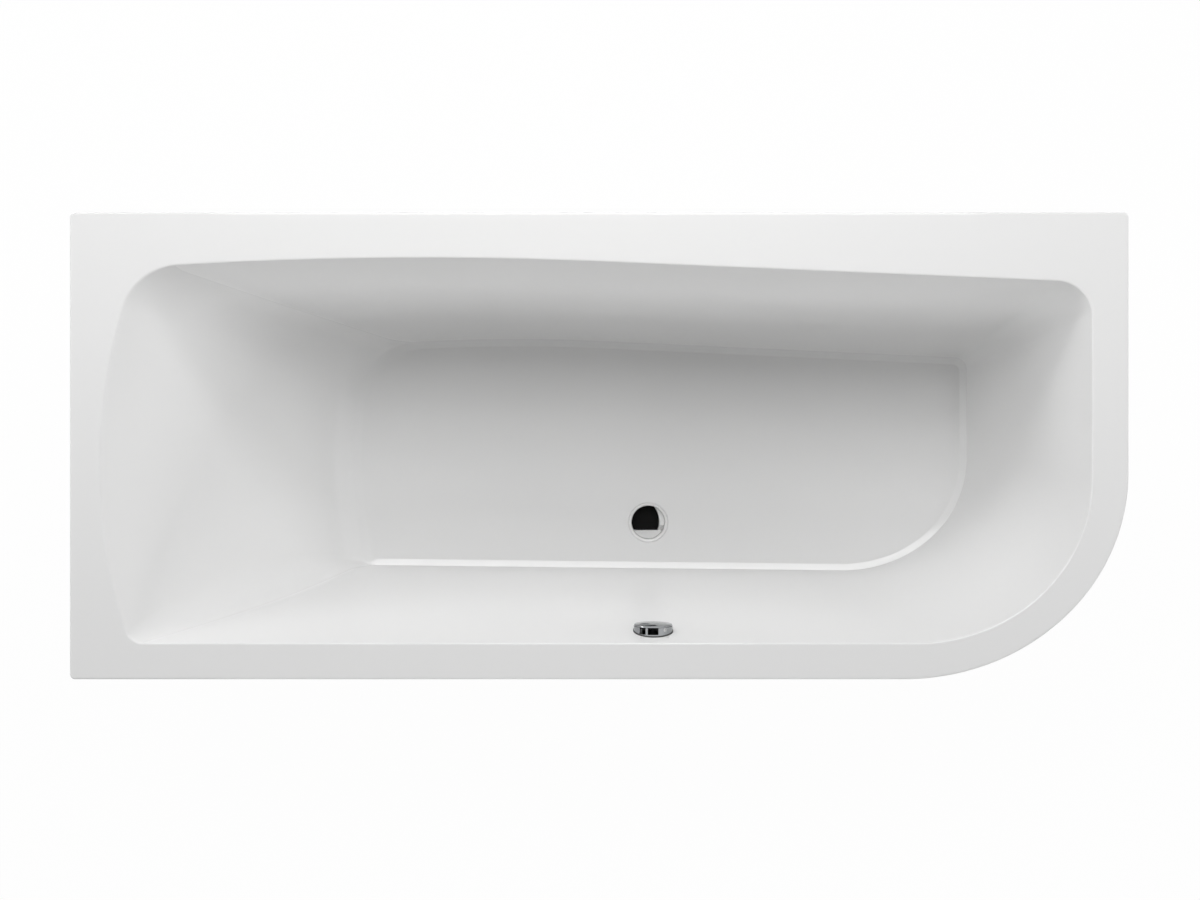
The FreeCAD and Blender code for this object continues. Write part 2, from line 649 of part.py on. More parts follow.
def stem_guide():
    """Guide for the stopper's stem on three arms, and two lugs for the lever's pin."""
    top = SEAT_Z - SEAT_THICK
    pieces = [cylinder(GUIDE_R, (0, 0, top - GUIDE_DEPTH), Z_AXIS, GUIDE_DEPTH)]
    for turn in (90.0, 210.0, 330.0):
        arm = block(0, GUIDE_ARM, -GUIDE_ARM_HALF, GUIDE_ARM_HALF, top - GUIDE_DEPTH, top)
        arm.rotate(Vector(0, 0, 0), Z_AXIS, turn)
        pieces.append(arm)
    for y in (-LUG_Y, LUG_Y):
        x0 = CRANK_X - LUG_HALF
        pieces.append(block(x0, CHAMBER_R + 0.5, y - 1.5, y + 1.5, CRANK_Z - LUG_HALF, CRANK_Z + LUG_HALF))
    for piece in pieces:
        piece.translate(Vector(DRAIN_X, DRAIN_Y, 0))
    return pieces


def make_waste_body(parts):
    top = UNDER_Z - GASKET_THICK
    under = top - COLLAR_FLANGE
    floor = CHAMBER_Z - BODY_FLOOR
    seat_under = SEAT_Z - SEAT_THICK
    profile = [(COLLAR_R, top), (COLLAR_FLANGE_R, top), (COLLAR_FLANGE_R, under), (BODY_R, under)]
    profile += [(BODY_R, floor), (TAIL_R, floor), (TAIL_R, TAIL_Z), (PIPE_BORE_R, TAIL_Z)]
    profile += [(PIPE_BORE_R, CHAMBER_Z), (CHAMBER_R, CHAMBER_Z), (CHAMBER_R, seat_under)]
    profile += [(SEAT_BORE_R, seat_under), (SEAT_BORE_R, SEAT_Z), (COLLAR_R, SEAT_Z)]
    body = turned(profile, (DRAIN_X, DRAIN_Y, 0.0))

    port = (HOSE_X, DRAIN_Y - PORT_REACH, PORT_Z)
    port_pipe = cylinder(PORT_R, port, Y_AXIS, PORT_REACH - BODY_R + 2.0)
    gland_start = (DRAIN_X + GLAND_REACH - GLAND_LENGTH, DRAIN_Y, GLAND_Z)
    gland = cylinder(GLAND_R, gland_start, X_AXIS, GLAND_LENGTH)
    body = body.fuse([port_pipe, gland])
    body = body.cut(cylinder(PORT_BORE_R, port, Y_AXIS, PORT_REACH - CHAMBER_R + 5.0))
    wire_way = (DRAIN_X + CHAMBER_R - 3.0, DRAIN_Y, GLAND_Z)
    body = body.cut(cylinder(INNER_WIRE_R, wire_way, X_AXIS, GLAND_LENGTH + 8.0))

    body = body.fuse(stem_guide()).removeSplitter()
    body = body.cut(drain_round(STEM_R + 0.1, seat_under - GUIDE_DEPTH - 2.0, seat_under + 2.0))
    pin_start = (DRAIN_X + CRANK_X, DRAIN_Y - PIN_LENGTH, CRANK_Z)
    parts["waste_body"] = body.cut(cylinder(PIN_R + 0.02, pin_start, Y_AXIS, 2 * PIN_LENGTH))


def make_stopper(parts):
    base = SEAT_Z + STOPPER_LIFT
    top = base + STOPPER_THICK
    disc = stopper_outline(0.0, base, top)
    top_edges = [e for e in disc.Edges if e.BoundBox.ZMin > top - 0.1]
    parts["stopper"] = disc.makeFillet(STOPPER_ROUND, top_edges)
    ring = stopper_outline(0.3, SEAT_Z + 0.02, base)
    parts["stopper_seal"] = ring.cut(drain_round(SEAT_BORE_R - 3.0, SEAT_Z - 1, base + 1))
    stem_end = CRANK_Z + CRANK_X * math.sin(math.radians(CRANK_REST)) + CRANK_TIP_R + 0.3
    nose = drain_round(STEM_NOSE_R, stem_end, stem_end + STEM_NOSE)
    stem = drain_round(STEM_R, stem_end + STEM_NOSE, base)
    parts["stopper_stem"] = joined([stem, nose, drain_round(STEM_PLATE_R, base - STEM_PLATE, base)])


def make_lever(parts):
    """Bell-crank lever that lifts the stem when the cable pulls its upright arm."""
    pivot = Vector(DRAIN_X + CRANK_X, DRAIN_Y, CRANK_Z)
    wide = CRANK_HALF_WIDTH
    hub = cylinder(CRANK_HUB_R, (0, -CRANK_HUB_HALF, 0), Y_AXIS, 2 * CRANK_HUB_HALF)
    lifter = block(-CRANK_X, 0, -wide, wide, -CRANK_ARM_HALF, CRANK_ARM_HALF)
    tip = cylinder(CRANK_TIP_R, (-CRANK_X, -wide, 0), Y_AXIS, 2 * wide)
    upright = block(-2.0, 2.0, -2.0, 2.0, 0, CRANK_UPRIGHT)
    bore = cylinder(PIN_R + 0.05, (0, -PIN_LENGTH, 0), Y_AXIS, 2 * PIN_LENGTH)
    lever = joined([hub, lifter, tip, upright]).cut(bore)
    lever.rotate(Vector(0, 0, 0), Y_AXIS, CRANK_REST)
    lever.translate(pivot)
    parts["lift_lever"] = lever
    parts["lever_pin"] = cylinder(PIN_R, (pivot.x, pivot.y - PIN_LENGTH / 2, pivot.z), Y_AXIS, PIN_LENGTH)


def pipe_solid(path, radius, start, direction):
    circle = Part.Wire(Part.Circle(Vector(*start), direction, radius).toShape())
    return Part.Wire(path).makePipeShell([circle], True, False)


def make_trap(parts):
    """Tubular trap that dips under the drain and leaves level towards the back wall."""
    top = Vector(DRAIN_X, DRAIN_Y, PIPE_TOP_Z)
    bend_start = Vector(DRAIN_X, DRAIN_Y, BEND_Z)
    bend_low = Vector(DRAIN_X, DRAIN_Y + BEND_R, BEND_Z - BEND_R)
    bend_end = Vector(DRAIN_X, DRAIN_Y + 2 * BEND_R, BEND_Z)
    crown_centre = bend_end + Y_AXIS * CROWN_R
    crown_end = crown_centre + Z_AXIS * CROWN_R
    outlet = crown_end + Y_AXIS * OUTLET_LENGTH
    path = [line(top, bend_start), Part.Arc(bend_start, bend_low, bend_end).toShape()]
    path += [arc_between(crown_centre, CROWN_R, bend_end, crown_end), line(crown_end, outlet)]
    outer = pipe_solid(path, PIPE_R, top, -Z_AXIS)
    bore = pipe_solid(path, PIPE_BORE_R, top, -Z_AXIS)
    collar = drain_round(PIPE_COLLAR_R, PIPE_TOP_Z - PIPE_COLLAR, PIPE_TOP_Z)
    bead = cylinder(BEAD_R, crown_end + Y_AXIS * BEAD_START, Y_AXIS, BEAD_LENGTH)

    # Cleaning opening at the lowest point of the bend
    def below(radius, z, height):
        return cylinder(radius, (bend_low.x, bend_low.y, z), Z_AXIS, height)

    boss = below(CLEAN_BOSS_R, CLEAN_BOSS_Z, PIPE_R - 8.0)
    trap = outer.fuse([collar, boss, bead]).cut(bore)
    parts["trap"] = trap.cut(below(CLEAN_HOLE_R, CLEAN_BOSS_Z - PLUG_LENGTH, PIPE_R - 4.0))
    cap_top = CLEAN_BOSS_Z - CLEAN_SEAL
    grip = block(-CAP_GRIP[0], CAP_GRIP[0], -CAP_GRIP[1], CAP_GRIP[1], CAP_GRIP_Z, CAP_Z)
    grip.translate(Vector(bend_low.x, bend_low.y, 0))
    plug = below(PLUG_R, cap_top, PLUG_LENGTH)
    parts["trap_cleaning_cap"] = joined([below(CAP_R, CAP_Z, cap_top - CAP_Z), plug, grip])
    seal_hole = below(CLEAN_HOLE_R + 0.1, cap_top, CLEAN_SEAL)
    parts["cleaning_cap_seal"] = below(CLEAN_BOSS_R, cap_top, CLEAN_SEAL).cut(seal_hole)

    # Union nut and washer that hold the trap to the waste
    parts["trap_washer"] = drain_ring(PIPE_COLLAR_R, PIPE_BORE_R, PIPE_TOP_Z, WASHER_THICK)
    union_top = UNION_Z + UNION_HEIGHT
    shoulder = PIPE_TOP_Z - PIPE_COLLAR
    nut = hexagon(UNION_FLATS, (DRAIN_X, DRAIN_Y, UNION_Z), Z_AXIS, UNION_HEIGHT)
    nut = nut.common(drain_round(UNION_ROUND_R, UNION_Z, union_top))
    neck = drain_round(UNION_NECK_R, UNION_Z - 1, shoulder)
    parts["trap_union_nut"] = nut.cut([neck, drain_round(UNION_BORE_R, shoulder - 0.2, union_top + 1)])


def make_knob(parts):
    """The turning knob, with a shallow finger dimple in its face."""
    x, z = OVERFLOW_X, OVERFLOW_Z
    crown = KNOB_EDGE + KNOB_DOME
    profile = [(0.0, 0.0), (KNOB_R, 0.0), (KNOB_R, KNOB_EDGE - KNOB_BEVEL), (KNOB_R - KNOB_BEVEL, KNOB_EDGE)]
    profile += [(20.0, KNOB_EDGE + 0.7 * KNOB_DOME), (8.0, crown), (0.0, crown)]
    knob = turned(profile, (x, KNOB_BACK_Y, z), Y_AXIS)
    hub = cylinder(KNOB_HUB_R, (x, KNOB_BACK_Y - 1.8, z), Y_AXIS, 2.0)
    dimple_y = KNOB_FACE_Y + DIMPLE_R - DIMPLE_DEPTH
    dimple = Part.makeSphere(DIMPLE_R, Vector(x + DIMPLE_PLACE[0], dimple_y, z + DIMPLE_PLACE[1]))
    socket = overflow_round(SPINDLE_R + 0.02, KNOB_BACK_Y - 3.0, KNOB_BACK_Y + KNOB_SOCKET)
    parts["overflow_knob"] = knob.fuse(hub).cut([dimple, socket]).removeSplitter()


def make_rosette(parts, inside):
    """Fixed ring round the knob's back with slots that let water in, and its seal on the bath's wall."""
    centre = Vector(OVERFLOW_X, ROSETTE_FRONT_Y, OVERFLOW_Z)
    length = ROSETTE_FRONT_Y - SLEEVE_BACK_Y
    sleeve = tube(ROSETTE_R, ROSETTE_BORE_R, centre - Y_AXIS * length, Y_AXIS, length)
    for start, end in ROSETTE_SLOTS:
        half = ROSETTE_R * math.radians(end - start) / 2
        slot = block(-half, half, -SLOT_LENGTH, 1.0, 20.0, 40.0)
        slot.rotate(Vector(0, 0, 0), Y_AXIS, (start + end) / 2)
        slot.translate(centre)
        sleeve = sleeve.cut(slot)
    angle = math.radians(SET_SCREW_ANGLE)
    radial = Vector(math.sin(angle), 0, math.cos(angle))
    middle = centre - Y_AXIS * SET_SCREW_BACK
    start = middle + radial * SET_SCREW_INNER_R
    sleeve = sleeve.cut(cylinder(SET_SCREW_R + 0.1, start - radial * 1.4, radial, 2 * SET_SCREW_LENGTH))
    above_seal = inside.translated(Vector(0, ROSETTE_SEAL, 0))
    parts["overflow_rosette"] = sleeve.common(above_seal)
    seal = tube(ROSETTE_SEAL_R, ROSETTE_BORE_R, centre - Y_AXIS * length, Y_AXIS, length)
    parts["rosette_seal"] = seal.common(inside).cut(above_seal)
    screw = cylinder(SET_SCREW_R, start, radial, SET_SCREW_LENGTH)
    socket = hexagon(SET_SCREW_SOCKET, start + radial * SET_SCREW_LENGTH / 2, radial, SET_SCREW_LENGTH)
    parts["rosette_set_screw"] = screw.cut(socket)


def make_carrier(parts):
    """Carrier behind the knob: a hub with three arms that holds the rosette, and its two screws."""
    x, z = OVERFLOW_X, OVERFLOW_Z
    half = CARRIER_ARM_HALF
    back = CARRIER_Y - CARRIER_THICK
    carrier = [overflow_round(CARRIER_HUB_R, back, CARRIER_Y)]
    arms = [(turn, block(-half, half, back, CARRIER_Y, 0.0, ROSETTE_BORE_R)) for turn in (90.0, -90.0)]
    arms += [(SET_SCREW_ANGLE, block(1 - half, half - 1, back - 2.0, CARRIER_Y, 0.0, CARRIER_ARM))]
    for turn, arm in arms:
        arm.rotate(Vector(0, 0, 0), Y_AXIS, turn)
        arm.translate(Vector(x, 0, z))
        carrier.append(arm)
    carrier = joined(carrier).common(overflow_round(ROSETTE_BORE_R - 0.1, SLEEVE_BACK_Y, WALL_FRONT_Y))
    holes = [overflow_round(SPINDLE_R + 0.06, back - 3.0, CARRIER_Y + 3.0)]
    screws = []
    for side in (-1, 1):
        screw_x = x + side * CARRIER_SCREW_X
        holes.append(cylinder(CARRIER_SCREW_R + 0.2, (screw_x, back - 3.0, z), Y_AXIS, 8.0))
        head = cylinder(CARRIER_HEAD_R, (screw_x, CARRIER_Y, z), Y_AXIS, CARRIER_HEAD)
        slot_y = CARRIER_Y + CARRIER_HEAD / 2
        head = head.cut(block(screw_x - 4, screw_x + 4, slot_y, slot_y + 3, z - 0.5, z + 0.5))
        shank_start = (screw_x, CARRIER_Y - CARRIER_SCREW_LENGTH, z)
        screws.append(head.fuse(cylinder(CARRIER_SCREW_R, shank_start, Y_AXIS, CARRIER_SCREW_LENGTH)))
    parts["overflow_carrier"] = carrier.cut(holes)
    parts["carrier_screws"] = Part.makeCompound(screws)


def make_overflow_housing(parts):
    """Housing behind the bath's wall, and its wedge gasket trimmed to the slanted wall."""
    x, z = OVERFLOW_X, OVERFLOW_Z
    flange = overflow_round(HOUSING_FLANGE_R, HOUSING_FRONT_Y - HOUSING_FLANGE, HOUSING_FRONT_Y)
    drum = overflow_round(HOUSING_R, HOUSING_BACK_Y, HOUSING_FRONT_Y)
    inner = HOUSING_R - HOUSING_WALL
    spigot_end = (HOSE_X, SPIGOT_Y, SPIGOT_END_Z)
    spigot = cylinder(PORT_R, spigot_end, Z_AXIS, z - inner - SPIGOT_END_Z)
    gland = cylinder(GLAND_R, CABLE_ROUTE[0], Z_AXIS, z - CABLE_ROUTE[0][2] - 3.0)
    housing = flange.fuse([drum, spigot, gland])
    housing = housing.cut(overflow_round(inner, HOUSING_BACK_Y + HOUSING_WALL, HOUSING_FRONT_Y + 1))
    bore_length = z - SPIGOT_BORE_TOP - SPIGOT_END_Z
    housing = housing.cut(cylinder(PORT_BORE_R, spigot_end, Z_AXIS, bore_length))
    boss_front = BOSS_BACK_Y + BOSS_LENGTH
    for side in (-1, 1):
        boss_x = x + side * CARRIER_SCREW_X
        ends = sorted((boss_x, x + side * (inner + 1.0)))
        boss = cylinder(BOSS_R, (boss_x, BOSS_BACK_Y, z), Y_AXIS, BOSS_LENGTH)
        web = block(ends[0], ends[1], BOSS_BACK_Y, boss_front, z - BOSS_WEB_HALF, z + BOSS_WEB_HALF)
        hole_start = (boss_x, CARRIER_Y - CARRIER_SCREW_LENGTH - 0.5, z)
        hole = cylinder(CARRIER_SCREW_R + 0.02, hole_start, Y_AXIS, CARRIER_SCREW_LENGTH)
        housing = housing.fuse([boss, web]).cut(hole)
    parts["overflow_housing"] = housing.removeSplitter()

    wedge = overflow_round(HOUSING_FLANGE_R - 1.0, HOUSING_FRONT_Y, WALL_FRONT_Y)
    wedge = wedge.cut(overflow_round(OVERFLOW_HOLE_R + 1.0, HOUSING_FRONT_Y, WALL_FRONT_Y))
    parts["overflow_gasket"] = wedge.cut(basin(SHEET + LAMINATE, SHEET))


def make_spindle(parts):
    """Spindle that the knob turns, with the crank that pulls the cable."""
    shaft = overflow_round(SPINDLE_R, SPINDLE_BACK_Y, KNOB_BACK_Y + 2.4)
    front = SPINDLE_BACK_Y + SPINDLE_ARM_THICK
    arm = block(-SPINDLE_ARM_HALF, SPINDLE_ARM_HALF, SPINDLE_BACK_Y, front, -1.0, SPINDLE_ARM)
    pin = cylinder(SPINDLE_PIN_R, (0, SPINDLE_BACK_Y, SPINDLE_PIN_REACH), Y_AXIS, SPINDLE_PIN_LENGTH)
    crank = arm.fuse(pin)
    crank.rotate(Vector(0, 0, 0), Y_AXIS, SPINDLE_REST)
    crank.translate(Vector(OVERFLOW_X, 0, OVERFLOW_Z))
    parts["overflow_spindle"] = shaft.fuse(crank).removeSplitter()


def hose_frames():
    """Length of the hose path and a function giving its place and direction along it."""
    start = Vector(HOSE_X, SPIGOT_Y, SPIGOT_END_Z)
    end = Vector(HOSE_X, DRAIN_Y - PORT_REACH, PORT_Z)
    centre = Vector(HOSE_X, SPIGOT_Y + HOSE_BEND_R, PORT_Z + HOSE_BEND_R)
    fall = start.z - centre.z
    bend = HOSE_BEND_R * math.pi / 2
    run = end.y - centre.y

    def at(distance):
        if distance <= fall:
            return start - Z_AXIS * distance, -Z_AXIS
        if distance <= fall + bend:
            angle = (distance - fall) / HOSE_BEND_R
            spoke = Vector(0, -math.cos(angle), -math.sin(angle))
            return centre + spoke * HOSE_BEND_R, Vector(0, math.sin(angle), -math.cos(angle))
        return centre - Z_AXIS * HOSE_BEND_R + Y_AXIS * (distance - fall - bend), Y_AXIS

    path = [line(start, start - Z_AXIS * fall)]
    path += [arc_between(centre, HOSE_BEND_R, start - Z_AXIS * fall, centre - Z_AXIS * HOSE_BEND_R)]
    path += [line(centre - Z_AXIS * HOSE_BEND_R, end)]
    return fall + bend + run, at, path


def make_hose(parts):
    """Corrugated hose: four circles for each rib, with a plain bore and plain cuffs."""
    length, at, path = hose_frames()
    stations = [(0.0, HOSE_CREST_R - 0.4), (HOSE_CUFF - 1.0, HOSE_CREST_R - 0.4)]
    ribs = int((length - 2 * HOSE_CUFF) / HOSE_PITCH)
    first = (length - ribs * HOSE_PITCH) / 2
    for rib in range(ribs):
        foot = first + rib * HOSE_PITCH
        stations += [(foot, HOSE_ROOT_R), (foot + 0.2 * HOSE_PITCH, HOSE_ROOT_R)]
        stations += [(foot + 0.45 * HOSE_PITCH, HOSE_CREST_R), (foot + 0.75 * HOSE_PITCH, HOSE_CREST_R)]
    stations += [(length - first, HOSE_ROOT_R), (length - HOSE_CUFF + 1.0, HOSE_CREST_R - 0.4)]
    stations += [(length, HOSE_CREST_R - 0.4)]
    circles = []
    for distance, radius in stations:
        place, direction = at(distance)
        circle = Part.Circle(place, direction, radius)
        circle.XAxis = X_AXIS
        circles.append(Part.Wire(circle.toShape()))
    outer = Part.makeLoft(circles, True, True)
    bore = pipe_solid(path, PORT_BORE_R, at(0.0)[0], -Z_AXIS)
    parts["overflow_hose"] = outer.cut(bore)
    print("hose length", round(length, 1), "ribs", ribs, "solids", len(parts["overflow_hose"].Solids))

    parts["hose_nut_top"] = hose_nut(at(0.0)[0], Z_AXIS)
    parts["hose_nut_low"] = hose_nut(at(length)[0], Y_AXIS)


def hose_nut(joint, axis):
    """Round union nut over the joint of hose and spigot, with grip grooves along it."""
    start = joint - axis * HOSE_NUT_REACH
    ring = tube(HOSE_NUT_R, HOSE_CREST_R + 0.2, start, axis, HOSE_NUT_LENGTH)
    grooves = []
    for k in range(HOSE_NUT_GROOVES):
        spoke = FreeCAD.Rotation(axis, 360.0 * k / HOSE_NUT_GROOVES).multVec(X_AXIS) * (HOSE_NUT_R + 0.6)
        grooves.append(cylinder(1.8, start + spoke, axis, HOSE_NUT_LENGTH))
    return ring.cut(grooves)


def rounded_path(points):
    """Straight runs joined by the largest tangent arcs that the runs allow."""
    edges = []
    radii = []
    corners = [Vector(*p) for p in points]
    start = corners[0]
    for before, corner, after in zip(corners, corners[1:], corners[2:]):
        back = (before - corner).normalize()
        ahead = (after - corner).normalize()
        half = math.acos(max(-1.0, min(1.0, back.dot(ahead)))) / 2
        setback = 0.45 * min((before - corner).Length, (after - corner).Length)
        radius = setback * math.tan(half)
        centre = corner + (back + ahead).normalize() * (radius / math.sin(half))
        arc_start = corner + back * setback
        arc_end = corner + ahead * setback
        edges += [line(start, arc_start), arc_between(centre, radius, arc_start, arc_end)]
        radii.append(round(radius, 1))
        start = arc_end
    edges.append(line(start, corners[-1]))
    return edges, radii


def make_cable(parts):
    path, radii = rounded_path(CABLE_ROUTE)
    cable = pipe_solid(path, CABLE_R, CABLE_ROUTE[0], -Z_AXIS)
    length = sum(edge.Length for edge in path)
    share = cable.Volume / (math.pi * CABLE_R**2 * length)
    print("cable radii", radii, "length", round(length, 1), "volume share", round(share, 4))
    parts["control_cable"] = cable

    bore = HOSE_CREST_R + 0.2
    hose_ring = tube(bore + CLIP_WALL, bore, (HOSE_X, SPIGOT_Y, CLIP_Z), Z_AXIS, CLIP_HEIGHT)
    cable_x = CABLE_ROUTE[0][0]
    cable_ring = cylinder(CABLE_R + CLIP_WALL, (cable_x, SPIGOT_Y, CLIP_Z), Z_AXIS, CLIP_HEIGHT)
    bridge = block(HOSE_X + bore + 1.0, cable_x, SPIGOT_Y - 1.5, SPIGOT_Y + 1.5, CLIP_Z, CLIP_Z + CLIP_HEIGHT)
    clip = joined([hose_ring, cable_ring, bridge])
    cable_way = cylinder(CABLE_R + 0.1, (cable_x, SPIGOT_Y, CLIP_Z - 1), Z_AXIS, CLIP_HEIGHT + 2)
    parts["cable_clip"] = clip.cut(cable_way)


def main():
    os.makedirs("parts", exist_ok=True)
    parts = {}
    inside = make_tub(parts)
    make_board(parts)
    make_rails(parts)
    make_feet(parts)
    make_hooks(parts)
    make_flange(parts)
    make_waste_body(parts)
    make_gear_housing(parts)
    make_stopper(parts)
    make_lever(parts)
    make_trap(parts)
    make_knob(parts)
    make_rosette(parts, inside)
    make_carrier(parts)
    make_overflow_housing(parts)
    make_spindle(parts)
    make_hose(parts)
    make_cable(parts)
    for name, shape in parts.items():
        volume = round(shape.Volume / 1000, 2)
        print(name, "solids", len(shape.Solids), "valid", shape.isValid(), "cm3", volume)
        shape.exportStep("parts/" + name + ".step")


main()
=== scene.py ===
"""Looks of an asymmetric bathtub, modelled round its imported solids.

Sizes are in metres, in the frame of the solids: +X along the length towards the foot end,
+Y towards the back wall, +Z up, with the origin on the floor under the middle of the tub.
"""

from __future__ import annotations

import json
import logging
import math
from dataclasses import dataclass
from enum import Enum
from typing import Any, Sequence

import bmesh
import bpy
from mathutils import Matrix, Vector, noise

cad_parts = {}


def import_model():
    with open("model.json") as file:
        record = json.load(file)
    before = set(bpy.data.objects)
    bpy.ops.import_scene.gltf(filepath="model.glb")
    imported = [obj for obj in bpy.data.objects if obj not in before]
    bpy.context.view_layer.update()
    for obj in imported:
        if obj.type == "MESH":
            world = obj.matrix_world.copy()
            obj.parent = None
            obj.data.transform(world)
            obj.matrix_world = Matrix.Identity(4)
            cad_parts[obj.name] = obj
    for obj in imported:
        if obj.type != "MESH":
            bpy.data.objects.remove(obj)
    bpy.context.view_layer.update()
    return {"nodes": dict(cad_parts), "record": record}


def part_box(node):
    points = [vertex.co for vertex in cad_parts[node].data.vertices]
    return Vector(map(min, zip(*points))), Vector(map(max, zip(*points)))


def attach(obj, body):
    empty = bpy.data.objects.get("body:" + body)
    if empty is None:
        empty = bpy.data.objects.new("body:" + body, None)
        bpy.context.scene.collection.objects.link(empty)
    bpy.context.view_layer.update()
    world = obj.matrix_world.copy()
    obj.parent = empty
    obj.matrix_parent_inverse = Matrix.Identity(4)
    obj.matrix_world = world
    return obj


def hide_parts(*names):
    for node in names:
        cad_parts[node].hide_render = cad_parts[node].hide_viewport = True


LOG = logging.getLogger("bathtub")
TUB = "tub"
DRAWN = "drawn"
WELD = 1e-6
PLASTIC_IOR = 1.49
OVERFLOW_INWARD = 0.01  # from the basin's front edge to the middle of the hole in its wall

Triple = tuple[float, float, float]
Colour = Triple
Ring = list[Vector]
Pairs = Sequence[tuple[float, float]]


class EndCap(Enum):
    """How the two end rings of a loft are closed."""

    FILLED = "filled"
    JOINED = "joined"


class Carving(Enum):
    """What a tool does to the piece that it is set on."""

    TAKE_AWAY = "DIFFERENCE"
    ADD = "UNION"


class Axis(Enum):
    """The way the axis of a turned piece points."""

    X = "x"
    Y = "y"
    Z = "z"


# Modelling by operators


def start_fresh() -> None:
    """Go to object mode and deselect everything."""
    if bpy.context.object is not None and bpy.context.object.mode != "OBJECT":
        bpy.ops.object.mode_set(mode="OBJECT")
    bpy.ops.object.select_all(action="DESELECT")


def activate(piece: bpy.types.Object) -> None:
    """Select one object alone and make it the active one.

    Args:
        piece: The object.
    """
    start_fresh()
    piece.select_set(True)
    bpy.context.view_layer.objects.active = piece


def fill_loop(skin: bmesh.types.BMesh, loop: Sequence[bmesh.types.BMVert]) -> None:
    """Close one loop of vertices with a face.

    Args:
        skin: The mesh in edit mode.
        loop: The vertices of the loop, in order.
    """
    bpy.ops.mesh.select_all(action="DESELECT")
    for vertex in loop:
        vertex.select_set(True)
    skin.select_flush(True)
    bpy.ops.mesh.edge_face_add()


def loft(name: str, rings: Sequence[Ring], cap: EndCap) -> bpy.types.Object:
    """Extrude one loop of edges from ring to ring into a closed skin.

    Args:
        name: Name of the new piece.
        rings: Rings of equally many points, each in the same order.
        cap: Whether the end rings are filled, or the last is joined to the first.

    Returns:
        The new piece, at the origin.
    """
    start_fresh()
    bpy.ops.mesh.primitive_circle_add(vertices=len(rings[0]), fill_type="NOTHING", enter_editmode=True)
    piece = bpy.context.object
    piece.name = piece.data.name = name
    skin = bmesh.from_edit_mesh(piece.data)
    loop = first = list(skin.verts)
    for vertex, point in zip(loop, rings[0]):
        vertex.co = point
    following = list(rings[1:])
    if cap is EndCap.JOINED:
        following.append(rings[0])
    for ring in following:
        bpy.ops.mesh.extrude_edges_indiv()
        loop = [next(e.other_vert(v) for e in v.link_edges if e.other_vert(v).select) for v in loop]
        for vertex, point in zip(loop, ring):
            vertex.co = point
    if cap is EndCap.FILLED:
        fill_loop(skin, first)
        fill_loop(skin, loop)
    bpy.ops.mesh.select_all(action="SELECT")
    bpy.ops.mesh.remove_doubles(threshold=WELD)
    bpy.ops.mesh.normals_make_consistent(inside=False)
    bpy.ops.object.mode_set(mode="OBJECT")
    return piece


def lathe(name: str, profile: Pairs, centre: Vector, axis: Axis, sides: int,
          cap: EndCap = EndCap.FILLED) -> bpy.types.Object:
    """Turn a profile about an axis.

    Args:
        name: Name of the new piece.
        profile: Points as radius and distance along the axis.
        centre: A point on the axis, where that distance is nought.
        axis: Which way the axis points.
        sides: Points in each ring.
        cap: Whether the ends are filled or joined into a closed ring.

    Returns:
        The new piece.
    """
    rings = []
    for radius, along in profile:
        ring = []
        for side in range(sides):
            angle = 2 * math.pi * side / sides
            across, up = radius * math.cos(angle), radius * math.sin(angle)
            places = {Axis.X: (along, across, up), Axis.Y: (across, along, up), Axis.Z: (across, up, along)}
            ring.append(centre + Vector(places[axis]))
        rings.append(ring)
    return loft(name, rings, cap)


def carve(piece: bpy.types.Object, tool: bpy.types.Object, carving: Carving = Carving.TAKE_AWAY) -> None:
    """Apply a boolean with a tool that is thrown away.

    Args:
        piece: The piece that is changed.
        tool: The shape that is taken away or added.
        carving: Which of the two.
    """
    modifier = piece.modifiers.new("carve", "BOOLEAN")
    modifier.operation = carving.value
    modifier.solver = "EXACT"
    modifier.object = tool
    activate(piece)
    bpy.ops.object.modifier_apply(modifier=modifier.name)
    bpy.data.objects.remove(tool)


def bore(piece: bpy.types.Object, radius: float, reach: tuple[float, float], centre: Vector, axis: Axis,
         sides: int) -> None:
    """Bore a round hole.

    Args:
        piece: The piece that is bored.
        radius: Radius of the hole.
        reach: Where it starts and ends along the axis.
        centre: A point on the axis, where that distance is nought.
        axis: Which way the axis points.
        sides: Points round the hole.
    """
    carve(piece, lathe("bore", [(radius, along) for along in reach], centre, axis, sides))


def smooth(piece: bpy.types.Object, crease: float) -> None:
    """Shade a piece smooth, with an edge wherever two faces turn by more than so many degrees."""
    activate(piece)
    bpy.ops.object.shade_smooth_by_angle(angle=math.radians(crease))


def settle(piece: bpy.types.Object, body: str, slot: str, *nodes: str) -> None:
    """Dress a finished piece and hand it to the body that it rides on.

    Args:
        piece: The finished piece.
        body: Name of the body.
        slot: Name of the record's material slot, whose finish it wears.
        nodes: The solids that the piece stands for.
    """
    piece.data.materials.clear()
    piece.data.materials.append(SLOT_FINISHES[slot].material())
    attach(piece, body)
    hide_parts(*nodes)
    LOG.info("%s: %d faces on %s", piece.name, len(piece.data.polygons), body)


# Shader maths


